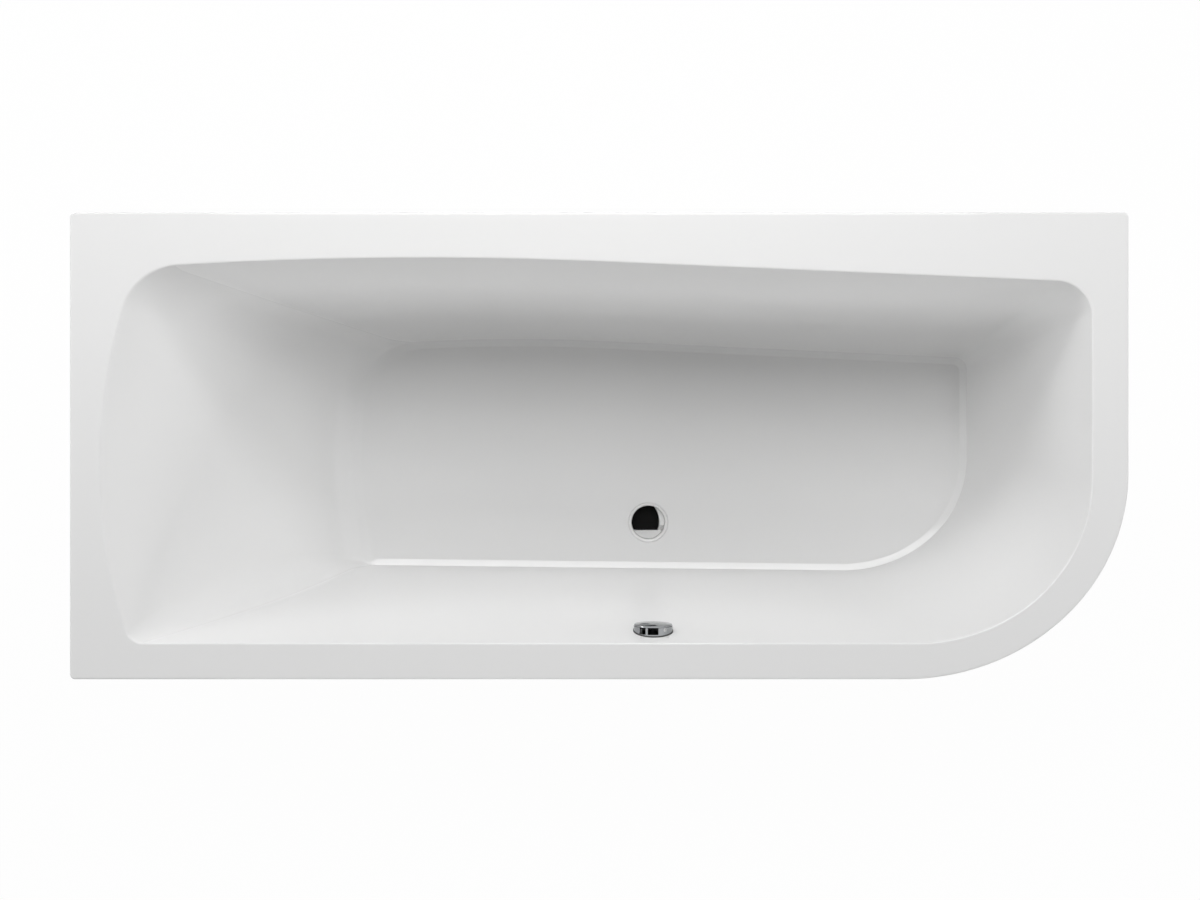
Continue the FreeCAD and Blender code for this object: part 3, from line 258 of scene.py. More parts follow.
class Signal:
    """A shader socket that takes part in Python arithmetic."""

    def __init__(self, graph: Graph, socket: bpy.types.NodeSocket) -> None:
        """Wrap a socket of a graph."""
        self.graph = graph
        self.socket = socket

    def _math(self, operation: str, first: Any, second: Any) -> Signal:
        """Add a Math node on two values or signals."""
        return self.graph.node("ShaderNodeMath", {"operation": operation}, {0: first, 1: second})

    def __add__(self, other: Signal | float) -> Signal:
        """Sum."""
        return self._math("ADD", self, other)

    __radd__ = __add__

    def __sub__(self, other: Signal | float) -> Signal:
        """Difference."""
        return self._math("SUBTRACT", self, other)

    def __rsub__(self, other: float) -> Signal:
        """Difference from a number."""
        return self._math("SUBTRACT", other, self)

    def __mul__(self, other: Signal | float) -> Signal:
        """Product."""
        return self._math("MULTIPLY", self, other)

    __rmul__ = __mul__

    def most(self, other: Signal | float) -> Signal:
        """The larger of two."""
        return self._math("MAXIMUM", self, other)

    def power(self, exponent: float) -> Signal:
        """This signal to a power."""
        return self._math("POWER", self, exponent)


class Graph:
    """The node tree of one material or of the world."""

    def __init__(self, tree: bpy.types.NodeTree) -> None:
        """Empty a node tree and take it over."""
        self.tree = tree
        tree.nodes.clear()

    def node(self, kind: str, settings: dict[str, Any] | None = None, inputs: dict[Any, Any] | None = None,
             output: int | str = 0) -> Signal:
        """Add any node.

        Args:
            kind: The node's type.
            settings: The node's own settings, with a ramp's stops under "stops".
            inputs: Values or signals for its sockets.
            output: Which output to return.

        Returns:
            That output as a signal.
        """
        made = self.tree.nodes.new(kind)
        for key, value in (settings or {}).items():
            if key == "stops":
                self._set_stops(made.color_ramp, value)
            else:
                setattr(made, key, value)
        for key, value in (inputs or {}).items():
            if isinstance(value, Signal):
                self.tree.links.new(value.socket, made.inputs[key])
            else:
                made.inputs[key].default_value = value
        return Signal(self, made.outputs[output] if made.outputs else made.inputs[0])

    @staticmethod
    def _set_stops(ramp: bpy.types.ColorRamp, stops: Sequence[tuple[float, Colour]]) -> None:
        """Give a ramp its stops.

        Args:
            ramp: The ramp of a node.
            stops: A position and a colour each.
        """
        while len(ramp.elements) < len(stops):
            ramp.elements.new(1.0)
        for element, (position, colour) in zip(ramp.elements, stops):
            element.position = position
            element.color = (*colour, 1.0)

    def place(self) -> Signal:
        """The place on the object, in metres."""
        return self.node("ShaderNodeTexCoord", output="Object")

    def noise(self, scale: float, detail: float = 2.0, place: Signal | None = None) -> Signal:
        """Soft noise from 0 to 1, with so many features to the metre."""
        inputs = {"Vector": place or self.place(), "Scale": scale, "Detail": detail}
        return self.node("ShaderNodeTexNoise", inputs=inputs)

    def streaks(self, scale: float, along: Triple, turn: Triple = (0.0, 0.0, 0.0)) -> Signal:
        """Noise drawn out into streaks.

        Args:
            scale: Features to the metre.
            along: Share of that scale on each axis: small is long.
            turn: Turn of the streaks about each axis.

        Returns:
            The streaks, from 0 to 1.
        """
        lengths = tuple(1.0 / share for share in along)
        inputs = {"Vector": self.place(), "Rotation": turn, "Scale": lengths}
        place = self.node("ShaderNodeMapping", {"vector_type": "TEXTURE"}, inputs)
        return self.noise(scale, detail=1.0, place=place)

    def cells(self, scale: float) -> Signal:
        """A random value for each cell of a mosaic.

        Args:
            scale: Cells to the metre.

        Returns:
            The values, from 0 to 1.
        """
        inputs = {"Vector": self.place(), "Scale": scale}
        colour = self.node("ShaderNodeTexVoronoi", inputs=inputs, output="Color")
        return self.node("ShaderNodeSeparateColor", inputs={0: colour})

    def bump(self, height: Signal, strength: float, depth: float) -> Signal:
        """A normal from a height.

        Args:
            height: Height from 0 to 1.
            strength: Strength of the effect.
            depth: Real depth of the relief.

        Returns:
            The bent normal.
        """
        inputs = {"Strength": strength, "Distance": depth, "Height": height}
        return self.node("ShaderNodeBump", inputs=inputs)


# Finishes


@dataclass(frozen=True)
class Finish:
    """A surface finish, which each kind varies in its own way."""

    name: str
    colour: Colour
    roughness: float

    def material(self) -> bpy.types.Material:
        """Find the finish's material, or make it the first time.

        Returns:
            The material.
        """
        known = bpy.data.materials.get(self.name)
        if known is not None:
            return known
        material = bpy.data.materials.new(self.name)
        material.use_nodes = True
        graph = Graph(material.node_tree)
        shader = graph.node("ShaderNodeBsdfPrincipled", inputs=self.sockets(graph))
        graph.node("ShaderNodeOutputMaterial", inputs={"Surface": shader})
        return material

    def sockets(self, graph: Graph) -> dict[str, Any]:
        """Values and signals for the shader.

        Args:
            graph: The material's graph.

        Returns:
            What goes into each of the shader's sockets.
        """
        raise NotImplementedError

    def shades(self, graph: Graph, share: Signal, *stops: tuple[float, float]) -> Signal:
        """The finish's colour, darker or lighter by a share.

        Args:
            graph: The material's graph.
            share: What the shade goes by, from 0 to 1.
            stops: A share each, with the factor on the colour there.

        Returns:
            The colour.
        """
        ramp = [(place, tuple(min(1.0, part * factor) for part in self.colour)) for place, factor in stops]
        return graph.node("ShaderNodeValToRGB", {"stops": ramp}, {0: share})


@dataclass(frozen=True)
class GlossAcrylic(Finish):
    """Cast acrylic sheet: deep gloss, less of it where the mould has drawn the sheet thin."""

    dulled: float = 0.38
    cloud_scale: float = 2.5
    cloud_shade: float = 0.992
    cloud_roughness: float = 0.03
    wave_scale: float = 28.0
    wave: tuple[float, float] = (0.04, 0.0006)

    def sockets(self, graph: Graph) -> dict[str, Any]:
        """See Finish.sockets."""
        cloud = graph.noise(self.cloud_scale)
        wave = graph.noise(self.wave_scale, detail=0.0)
        drawn = graph.node("ShaderNodeAttribute", {"attribute_name": DRAWN}, output="Fac")
        return {
            "Base Color": self.shades(graph, cloud, (0.0, self.cloud_shade), (1.0, 1.0)),
            "Roughness": self.roughness + cloud * self.cloud_roughness + drawn * drawn * self.dulled,
            "IOR": PLASTIC_IOR,
            "Normal": graph.bump(wave, *self.wave),
        }


@dataclass(frozen=True)
class FibreLaminate(Finish):
    """Glass-fibre laminate as sprayed: strands lying every way under resin."""

    turns: tuple[Triple, ...] = ((0.0, 0.6, 0.5), (0.3, 1.5, 1.3), (0.7, 2.5, 2.3))
    strand_scale: float = 230.0
    strand_stretch: Triple = (0.06, 1.0, 1.0)
    strand_share: float = 0.75
    strand_gloss: float = 0.25
    resin_scale: float = 9.0
    relief: tuple[float, float] = (0.55, 0.0016)

    def sockets(self, graph: Graph) -> dict[str, Any]:
        """See Finish.sockets."""
        layers = [graph.streaks(self.strand_scale, self.strand_stretch, turn) for turn in self.turns]
        strands = layers[0]
        for layer in layers[1:]:
            strands = strands.most(layer)
        resin = graph.noise(self.resin_scale, detail=3.0)
        share = strands * self.strand_share + resin * (1.0 - self.strand_share)
        return {
            "Base Color": self.shades(graph, share, (0.42, 0.72), (0.58, 1.0), (0.74, 1.14)),
            "Roughness": self.roughness - strands * self.strand_gloss,
            "Normal": graph.bump(share, *self.relief),
        }


@dataclass(frozen=True)
class Chipboard(Finish):
    """Pressed wood chips, each of its own shade."""

    chip_scale: float = 240.0
    dust_scale: float = 900.0
    chip_share: float = 0.7
    relief: tuple[float, float] = (0.4, 0.0008)

    def sockets(self, graph: Graph) -> dict[str, Any]:
        """See Finish.sockets."""
        chips, dust = graph.cells(self.chip_scale), graph.cells(self.dust_scale)
        share = chips * self.chip_share + dust * (1.0 - self.chip_share)
        return {
            "Base Color": self.shades(graph, share, (0.0, 0.55), (0.35, 0.85), (0.7, 1.0), (1.0, 1.3)),
            "Roughness": self.roughness,
            "Normal": graph.bump(share, *self.relief),
        }


@dataclass(frozen=True)
class Galvanised(Finish):
    """Hot-dip zinc with its spangle."""

    spangle_scale: float = 95.0
    spangle_roughness: float = 0.16
    ripple_scale: float = 60.0
    ripple: tuple[float, float] = (0.08, 0.0005)

    def sockets(self, graph: Graph) -> dict[str, Any]:
        """See Finish.sockets."""
        spangle = graph.cells(self.spangle_scale)
        return {
            "Base Color": self.shades(graph, spangle, (0.0, 0.82), (1.0, 1.12)),
            "Metallic": 1.0,
            "Roughness": self.roughness + spangle * self.spangle_roughness,
            "Normal": graph.bump(graph.noise(self.ripple_scale), *self.ripple),
        }


@dataclass(frozen=True)
class PlainMetal(Finish):
    """Plated or turned metal with fine streaks and a trace of handling."""

    streak: float = 0.06
    smudge: float = 0.05
    streak_scale: float = 1400.0
    streak_stretch: Triple = (1.0, 1.0, 0.04)
    streak_depth: float = 0.0001
    hand_scale: float = 45.0
    hand_contrast: float = 3.0

    def sockets(self, graph: Graph) -> dict[str, Any]:
        """See Finish.sockets."""
        lines = graph.streaks(self.streak_scale, self.streak_stretch)
        hand = graph.noise(self.hand_scale, detail=3.0)
        smudges = hand.power(self.hand_contrast) * self.smudge
        return {
            "Base Color": self.shades(graph, hand, (0.0, 0.94), (1.0, 1.0)),
            "Metallic": 1.0,
            "Roughness": self.roughness + lines * self.streak + smudges,
            "Normal": graph.bump(lines, self.streak, self.streak_depth),
        }


@dataclass(frozen=True)
class MouldedPlastic(Finish):
    """Moulded plastic with a fine grain."""

    grain: float = 0.08
    grain_scale: float = 1600.0
    grain_depth: float = 0.00015
    cloud_scale: float = 22.0
    cloud_roughness: float = 0.08

    def sockets(self, graph: Graph) -> dict[str, Any]:
        """See Finish.sockets."""
        cloud = graph.noise(self.cloud_scale, detail=3.0)
        grain = graph.noise(self.grain_scale, detail=1.0)
        return {
            "Base Color": self.shades(graph, cloud, (0.0, 0.95), (1.0, 1.03)),
            "Roughness": self.roughness + cloud * self.cloud_roughness,
            "IOR": PLASTIC_IOR,
            "Normal": graph.bump(grain, self.grain, self.grain_depth),
        }


@dataclass(frozen=True)
class SealRubber(Finish):
    """Matt black rubber with a dusty bloom."""

    gloss: float = 0.5
    bloom_scale: float = 60.0
    bloom_roughness: float = 0.15
    grain_scale: float = 1100.0
    grain: tuple[float, float] = (0.2, 0.0002)

    def sockets(self, graph: Graph) -> dict[str, Any]:
        """See Finish.sockets."""
        bloom = graph.noise(self.bloom_scale, detail=4.0)
        grain = graph.noise(self.grain_scale, detail=1.0)
        return {
            "Base Color": self.shades(graph, bloom, (0.0, 0.8), (1.0, 1.7)),
            "Roughness": self.roughness + bloom * self.bloom_roughness,
            "Specular IOR Level": self.gloss,
            "Normal": graph.bump(grain, *self.grain),
        }


SLOT_FINISHES: dict[str, Finish] = {
    "acrylic": GlossAcrylic("white_acrylic", (0.80, 0.80, 0.798), 0.07),
    "laminate": FibreLaminate("fibre_laminate", (0.70, 0.68, 0.60), 0.72),
    "chipboard": Chipboard("raw_chipboard", (0.50, 0.37, 0.23), 0.85),
    "galvanised": Galvanised("galvanised_sheet", (0.60, 0.62, 0.63), 0.30),
    "zinc": PlainMetal("bright_zinc", (0.66, 0.66, 0.64), 0.22),
    "foot_plastic": MouldedPlastic("black_polyamide", (0.035, 0.035, 0.037), 0.45, grain=0.25),
    "white_plastic": MouldedPlastic("white_polypropylene", (0.84, 0.84, 0.835), 0.22),
    # Near-black with almost no gloss: painted shade, the stopper stands in for the dark shaded throat of
    # the waste.
    "stopper_black": SealRubber("stopper_painted_throat_shade", (0.005, 0.005, 0.005), 0.75, gloss=0.1),
    "rubber": SealRubber("seal_rubber", (0.03, 0.03, 0.03), 0.65),
    # Chrome darker than the bare metal: painted reflection, standing in for the dark surroundings that the
    # knob mirrors.
    "chrome": PlainMetal("chrome_painted_dark_reflection", (0.36, 0.37, 0.38), 0.13, streak=0.0, smudge=0.06),
    "grey_plastic": MouldedPlastic("grey_plastic", (0.05, 0.05, 0.053), 0.6),
    "stainless": PlainMetal("stainless", (0.62, 0.62, 0.62), 0.25),
    "brass": PlainMetal("turned_brass", (0.62, 0.48, 0.22), 0.22),
    "hose_plastic": MouldedPlastic("hose_polyethylene", (0.66, 0.67, 0.67), 0.34),
    "cable_sheath": MouldedPlastic("cable_sheath", (0.05, 0.05, 0.055), 0.42, grain=0.2),
}


# The form of the tub


@dataclass(frozen=True)
class Span:
    """A measure of the basin at its rim and at its floor."""

    rim: float
    floor: float

    def at(self, share: float) -> float:
        """The measure at a share of the depth."""
        return self.rim + (self.floor - self.rim) * share


@dataclass(frozen=True)
class EdgePoints:
    """Points on each of the nine edges of an outline, in their order round it."""

    front: int = 44
    sweep: int = 64
    foot: int = 14
    back_foot: int = 20
    back: int = 40
    back_bow: int = 48
    back_head: int = 48
    head: int = 40
    front_head: int = 40


def spread(start: Vector, end: Vector, count: int) -> Ring:
    """Even points along a straight line, without its end."""
    return [start.lerp(end, step / count) for step in range(count)]


def arc(centre: Vector, start: Vector, end: Vector, count: int) -> Ring:
    """Even points along the short arc about a centre, without its end.

    Args:
        centre: Centre of the arc.
        start: First point on it.
        end: Point where it ends.
        count: Number of points.

    Returns:
        The points, at the centre's height.
    """
    spoke = start - centre
    turn = spoke.xy.angle_signed((end - centre).xy)
    return [centre + Matrix.Rotation(-turn * step / count, 3, "Z") @ spoke for step in range(count)]


def ellipse_corner(corner: Vector, across: float, along: float, count: int) -> Ring:
    """Quarter ellipse from a front edge round to a foot edge, without its end.

    Args:
        corner: Where the two edges would meet.
        across: Reach of the ellipse along X.
        along: Reach of the ellipse along Y.
        count: Number of points.

    Returns:
        The points.
    """
    points = []
    for step in range(count):
        angle = math.pi / 2 * step / count
        points.append(corner + Vector((across * (math.sin(angle) - 1), along * (1 - math.cos(angle)), 0)))
    return points


@dataclass(frozen=True)
class TubForm:
    """The outlines of the rim and of the basin, and the rounds between them."""

    length: float = 1.700
    width: float = 0.750
    rim_z: float = 0.595
    depth: float = 0.430
    sheet: float = 0.004
    laminate: float = 0.003
    lip_height: float = 0.040
    rim_corner: float = 0.008
    least_corner: float = 0.0005
    rim_sweep: tuple[float, float] = (0.360, 0.330)
    rim_round: float = 0.003
    front_y: Span = Span(-0.3169, -0.2357)
    front_slope: Span = Span(0.0, -0.0106)
    foot_x: Span = Span(0.7912, 0.714)
    head_x: Span = Span(-0.8009, -0.496)
    head_mid_y: Span = Span(-0.030, -0.005)
    head_bow: Span = Span(0.882, 1.100)
    back_y: Span = Span(0.2958, 0.204)
    back_slope: Span = Span(-0.0424, -0.046)
    back_bow: Span = Span(6.600, 3.450)
    round_back_head: Span = Span(0.095, 0.130)
    round_back_foot: Span = Span(0.058, 0.026)
    round_front_head: Span = Span(0.028, 0.022)
    valley_swell: float = 0.050
    sweep_x: Span = Span(0.284, 0.240)
    sweep_y: Span = Span(0.264, 0.215)
    lip_round: float = 0.003
    band: tuple[float, float] = (0.0123, 0.0042)
    band_soft: float = 0.0014
    head_blend: float = 0.080
    floor_margin: float = 0.004
    overflow_r: float = 0.026
    overflow_reach: tuple[float, float] = (-0.02, 0.03)
    overflow_sides: int = 64
    points: EdgePoints = EdgePoints()

    @property
    def lean(self) -> float:
        """Angle of the front wall from upright."""
        return math.atan2(self.front_y.floor - self.front_y.rim, self.depth)

    def bore_overflow(self, piece: bpy.types.Object, centre: Vector) -> None:
        """Bore the overflow's hole through a piece."""
        bore(piece, self.overflow_r, self.overflow_reach, centre, Axis.Y, self.overflow_sides)

    def rim_ring(self, inset: float, z: float) -> Ring:
        """The outer outline of the rim.

        Args:
            inset: How far it is drawn in.
            z: Its height.

        Returns:
            One ring of points, from the head end of the front edge round to the left.
        """
        x, y = self.length / 2 - inset, self.width / 2 - inset
        r = max(self.rim_corner - inset, self.least_corner)
        across, along = (size - inset for size in self.rim_sweep)
        front = Vector((-x + r, -y, z)), Vector((x - across, -y, z))
        foot = Vector((x, -y + along, z)), Vector((x, y - r, z))
        back = Vector((x - r, y, z)), Vector((0, y, z)), Vector((-x + r, y, z))
        head = Vector((-x, y - r, z)), Vector((-x, -y + r, z))
        n = self.points
        ring = spread(*front, n.front) + ellipse_corner(Vector((x, -y, z)), across, along, n.sweep)
        ring += spread(*foot, n.foot) + arc(Vector((x - r, y - r, z)), foot[1], back[0], n.back_foot)
        ring += spread(back[0], back[1], n.back) + spread(back[1], back[2], n.back_bow)
        ring += arc(Vector((-x + r, y - r, z)), back[2], head[0], n.back_head) + spread(*head, n.head)
        return ring + arc(Vector((-x + r, -y + r, z)), head[1], front[0], n.front_head)

    def basin_ring(self, depth: float, inset: float, head_in: float = 0.0) -> Ring:
        """The outline of the basin: nine tangent edges.

        Args:
            depth: Depth under the rim.
            inset: How far it is drawn in.
            head_in: How far it is drawn in further at the head end.

        Returns:
            One ring of points, in the order of rim_ring.
        """
        share = depth / self.depth
        z = self.rim_z - depth
        front, foot = self.front_y.at(share) + inset, self.foot_x.at(share) - inset
        across, along = self.sweep_x.at(share) - inset, self.sweep_y.at(share) - inset
        front_head_y = front + self.front_slope.at(share) * self.head_x.at(share)
        front_foot_y = front + self.front_slope.at(share) * (foot - across)
        slope = self.back_slope.at(share)
        stretch = math.hypot(1.0, slope)
        outward = Vector((-slope, 1.0, 0.0)) / stretch
        back_start = Vector((0, self.back_y.at(share) - inset * stretch, z))
        back_bow = self.back_bow.at(share) - inset
        back_centre = back_start - outward * back_bow
        head_bow = self.head_bow.at(share) - inset
        head_centre_x = self.head_x.at(share) + self.head_bow.at(share) + head_in
        head_centre = Vector((head_centre_x, self.head_mid_y.at(share), z))

        r = self.round_back_foot.at(share) - inset
        back_foot = Vector((foot - r, back_start.y + slope * (foot - r) - r * stretch, z))
        foot_end, back_end = Vector((foot, back_foot.y, z)), back_foot + outward * r

        r = self.round_back_head.at(share) - inset
        back_head = self._between_bows(back_centre, back_bow - r, head_centre, head_bow - r)
        bow_end = back_centre + (back_head - back_centre).normalized() * back_bow
        head_start = head_centre + (back_head - head_centre).normalized() * head_bow

        r = self.round_front_head.at(share) + 4 * self.valley_swell * share * (1 - share) - inset
        centre_y = front_head_y + r
        reach = math.sqrt((head_bow - r) ** 2 - (centre_y - head_centre.y) ** 2)
        front_head = Vector((head_centre.x - reach, centre_y, z))
        head_end = head_centre + (front_head - head_centre).normalized() * head_bow
        front_start = Vector((front_head.x, front_head_y, z))

        n = self.points
        ring = spread(front_start, Vector((foot - across, front_foot_y, z)), n.front)
        ring += ellipse_corner(Vector((foot, front_foot_y, z)), across, along, n.sweep)
        ring += spread(Vector((foot, front_foot_y + along, z)), foot_end, n.foot)
        ring += arc(back_foot, foot_end, back_end, n.back_foot) + spread(back_end, back_start, n.back)
        ring += arc(back_centre, back_start, bow_end, n.back_bow)
        ring += arc(back_head, bow_end, head_start, n.back_head)
        ring += arc(head_centre, head_start, head_end, n.head)
        return ring + arc(front_head, head_end, front_start, n.front_head)

    @staticmethod
    def _between_bows(first: Vector, first_reach: float, second: Vector, second_reach: float) -> Vector:
        """Find the corner that touches two bows, at the head end of the back edge.

        Args:
            first: Centre of the one bow.
            first_reach: How far the corner's centre is from it.
            second: Centre of the other bow.
            second_reach: How far the corner's centre is from that.

        Returns:
            The corner's centre.
        """
        between = second - first
        gap = between.length
        along = (first_reach**2 - second_reach**2 + gap**2) / (2 * gap)
        off = math.sqrt(first_reach**2 - along**2)
        between.normalize()
        across = Vector((-between.y, between.x, 0)) * off
        foot = first + between * along
        return min(foot + across, foot - across, key=lambda point: point.x)

    def round_step(self, share: float, radius: float) -> tuple[float, float]:
        """One step of the round between a level face and a wall.

        Args:
            share: Share of the round.
            radius: Its radius.

        Returns:
            The rise and the inset there.
        """
        angle = (math.pi / 2 - self.lean) * share
        rise = radius * (1 - math.cos(angle))
        reach = (1 - math.sin(self.lean)) / math.cos(self.lean)
        return rise, radius * (reach - math.sin(angle)) + rise * math.tan(self.lean)

    @property
    def head_fall(self) -> float:
        """Slope of the backrest: run over rise."""
        return (self.head_x.floor - self.head_x.rim) / self.depth

    def blend_height(self, radius: float) -> float:
        """Height at which the round at the foot of the backrest begins."""
        return radius * (1 - math.cos(math.pi / 2 - math.atan(self.head_fall)))

    def blend_reach(self, height: float, radius: float) -> float:
        """How far the round at the foot of the backrest lies in front of its straight line.

        Args:
            height: Height over the floor.
            radius: Radius of the round.

        Returns:
            The distance, which is nought above the round.
        """
        if height >= self.blend_height(radius):
            return 0.0
        turn = math.pi / 2 - math.atan(self.head_fall)
        bow = math.sqrt(height * (2 * radius - height))
        return radius * math.tan(turn / 2) - bow + self.head_fall * height

    def band_steps(self, grown: float, count: int) -> list[tuple[float, float]]:
        """Heights and insets across the band between a wall and the floor, with softened edges.

        Args:
            grown: How much larger the band is than on the side that shows.
            count: Steps in each softened edge.

        Returns:
            The steps, the floor's first.
        """
        width, height = (size + grown for size in self.band)
        soft = self.band_soft
        along = Vector((height, -width)).normalized() * soft
        floor_edge, wall_edge = Vector((0.0, width)), Vector((height, 0.0))
        edges = [(Vector((0.0, width + soft)), floor_edge, floor_edge + along)]
        edges.append((wall_edge - along, wall_edge, Vector((height + soft, 0.0))))
        steps = []
        for start, corner, end in edges:
            for step in range(count + 1):
                share = step / count
                point = start.lerp(corner, share).lerp(corner.lerp(end, share), share)
                steps.append((point.x, point.y))
        return steps

    def basin_side(self, offset: float, top: float, wall_steps: int, round_steps: int) -> list[Ring]:
        """Rings from the floor up the wall of the basin, grown by an offset.

        Args:
            offset: How far the basin is grown.
            top: Depth at which the wall ends.
            wall_steps: Rings up the wall.
            round_steps: Rings in each rounding near the floor.

        Returns:
            The rings, the floor's first.
        """
        floor = self.depth + offset
        radius = self.head_blend + offset
        steps = self.band_steps((2 - math.sqrt(2)) * offset, round_steps)
        first = steps[0][1]
        first_head_in = self.blend_reach(0.0, radius) - first
        rings = [self.basin_ring(floor, first + self.floor_margin - offset, first_head_in)]
        low, high = steps[-1][0], self.blend_height(radius)
        steps += [(low + (high - low) * step / round_steps, 0.0) for step in range(1, round_steps + 1)]
        for height, inset in steps:
            head_in = self.blend_reach(height, radius) - inset
            rings.append(self.basin_ring(floor - height, inset - offset, head_in))
        start = floor - high
        for step in range(1, wall_steps + 1):
            rings.append(self.basin_ring(start + (top - start) * step / wall_steps, -offset))
        return rings


@dataclass
class AcrylicShell:
    """The white sheet that is the rim, the turned-down edge and the basin."""

    form: TubForm
    drain: Vector
    overflow: Vector
    sump_r: float = 0.048
    recess_r: float = 0.0384
    recess_depth: float = 0.003
    drain_hole_r: float = 0.034
    edge_break: float = 0.0008
    edge_margin: float = 0.002
    tool_over: float = 0.01
    tool_clear: float = 1e-5
    wall_steps: int = 22
    round_steps: int = 10
    lip_steps: int = 8
    rim_steps: int = 5
    sump_sides: int = 96
    drain_sides: int = 128
    crease: float = 32.0

    def top_rings(self) -> list[Ring]:
        """Rings of the side that shows.

        Returns:
            The rings, from the floor to the bottom of the edge.
        """
        form = self.form
        lip = [form.round_step(step / self.lip_steps, form.lip_round) for step in range(self.lip_steps + 1)]
        rings = form.basin_side(0.0, lip[-1][0], self.wall_steps, self.round_steps)
        rings += [form.basin_ring(rise, -inset) for rise, inset in reversed(lip[:-1])]
        rings.append(form.basin_ring(0.0, -lip[0][1] - self.edge_margin))
        rings.append(form.rim_ring(form.rim_round + self.edge_margin, form.rim_z))
        for step in range(self.rim_steps + 1):
            angle = math.pi / 2 * step / self.rim_steps
            inset = form.rim_round * (1 - math.sin(angle))
            rings.append(form.rim_ring(inset, form.rim_z - form.rim_round * (1 - math.cos(angle))))
        bottom = form.rim_z - form.lip_height
        rings.append(form.rim_ring(0.0, form.rim_z - form.rim_round - self.edge_margin))
        rings.append(form.rim_ring(0.0, bottom + self.edge_break))
        rings.append(form.rim_ring(self.edge_break, bottom))
        return rings

    def under_rings(self) -> list[Ring]:
        """Rings of the hidden side.

        Returns:
            The rings, from the bottom of the edge to under the floor.
        """
        form = self.form
        under = form.rim_z - form.sheet
        rings = [form.rim_ring(form.sheet, form.rim_z - form.lip_height), form.rim_ring(form.sheet, under)]
        return rings + form.basin_side(form.sheet, form.sheet, self.wall_steps, self.round_steps)[::-1]

    def build(self) -> bpy.types.Object:
        """Model the shell with its drain and overflow holes.

        Returns:
            The shell.
        """
        form = self.form
        shell = loft("bath_shell", self.top_rings() + self.under_rings(), EndCap.FILLED)
        floor = form.rim_z - form.depth
        under = floor - form.sheet - form.laminate
        sump = [(self.sump_r, under), (self.sump_r, floor - form.sheet / 2)]
        carve(shell, lathe("sump", sump, self.drain, Axis.Z, self.sump_sides), Carving.ADD)
        seat = floor - self.recess_depth
        recess_r, rim = self.recess_r, self.edge_break
        profile = [
            (self.drain_hole_r, under - self.tool_over), (self.drain_hole_r, seat), (recess_r, seat),
            (recess_r, floor - rim), (recess_r + rim, floor + self.tool_clear),
            (recess_r, floor + self.tool_over),
        ]
        carve(shell, lathe("drain_tool", profile, self.drain, Axis.Z, self.drain_sides))
        form.bore_overflow(shell, self.overflow)
        smooth(shell, self.crease)
        self.note_steepness(shell)
        return shell

    @staticmethod
    def note_steepness(shell: bpy.types.Object) -> None:
        """Note on each point how steep the sheet is, which is where the mould has drawn it thin.

        Args:
            shell: The shell.
        """
        notes = shell.data.attributes.new(DRAWN, "FLOAT", "POINT")
        for vertex, note in zip(shell.data.vertices, notes.data):
            note.value = 1.0 - abs(vertex.normal.z)


@dataclass
class FibreBacking:
    """Glass-fibre laminate that stiffens the back of the shell, rough as it was sprayed."""

    form: TubForm
    drain: Vector
    overflow: Vector
    drain_hole_r: float = 0.0482
    drain_reach: float = 0.02
    drain_sides: int = 96
    roughness: float = 0.0009
    lump: float = 30.0
    grain: float = 95.0
    grain_share: float = 0.6
    sunk: float = 0.9
    flat_under: float = 0.001
    flat_top: float = 0.01
    inner_steps: int = 4
    wall_steps: int = 44
    round_steps: int = 8
    crease: float = 50.0

    def build(self) -> bpy.types.Object:
        """Model the laminate and roughen its outer side.

        Returns:
            The laminate.
        """
        form = self.form
        inner = form.basin_side(form.sheet, form.sheet, self.inner_steps, self.round_steps)
        outer = form.basin_side(form.sheet + form.laminate, form.sheet, self.wall_steps, self.round_steps)
        backing = loft("fibre_backing", inner + outer[::-1], EndCap.FILLED)
        under = form.rim_z - form.depth - form.sheet - form.laminate
        drain_reach = under - self.drain_reach, under + self.drain_reach
        bore(backing, self.drain_hole_r, drain_reach, self.drain, Axis.Z, self.drain_sides)
        form.bore_overflow(backing, self.overflow)
        self.roughen(backing, under + self.flat_under, form.rim_z - self.flat_top)
        smooth(backing, self.crease)
        return backing

    def roughen(self, backing: bpy.types.Object, low: float, high: float) -> None:
        """Push the outer side in and out by a little noise.

        Args:
            backing: The laminate.
            low: Height up to which it stays flat for the board.
            high: Height from which it stays flat under the rim.
        """
        mesh = backing.data
        for vertex in mesh.vertices:
            if low < vertex.co.z < high:
                grain = noise.noise(vertex.co * self.grain)
                swell = noise.noise(vertex.co * self.lump) + self.grain_share * grain
                vertex.co += vertex.normal * (self.roughness * (swell - self.sunk))
        mesh.update()


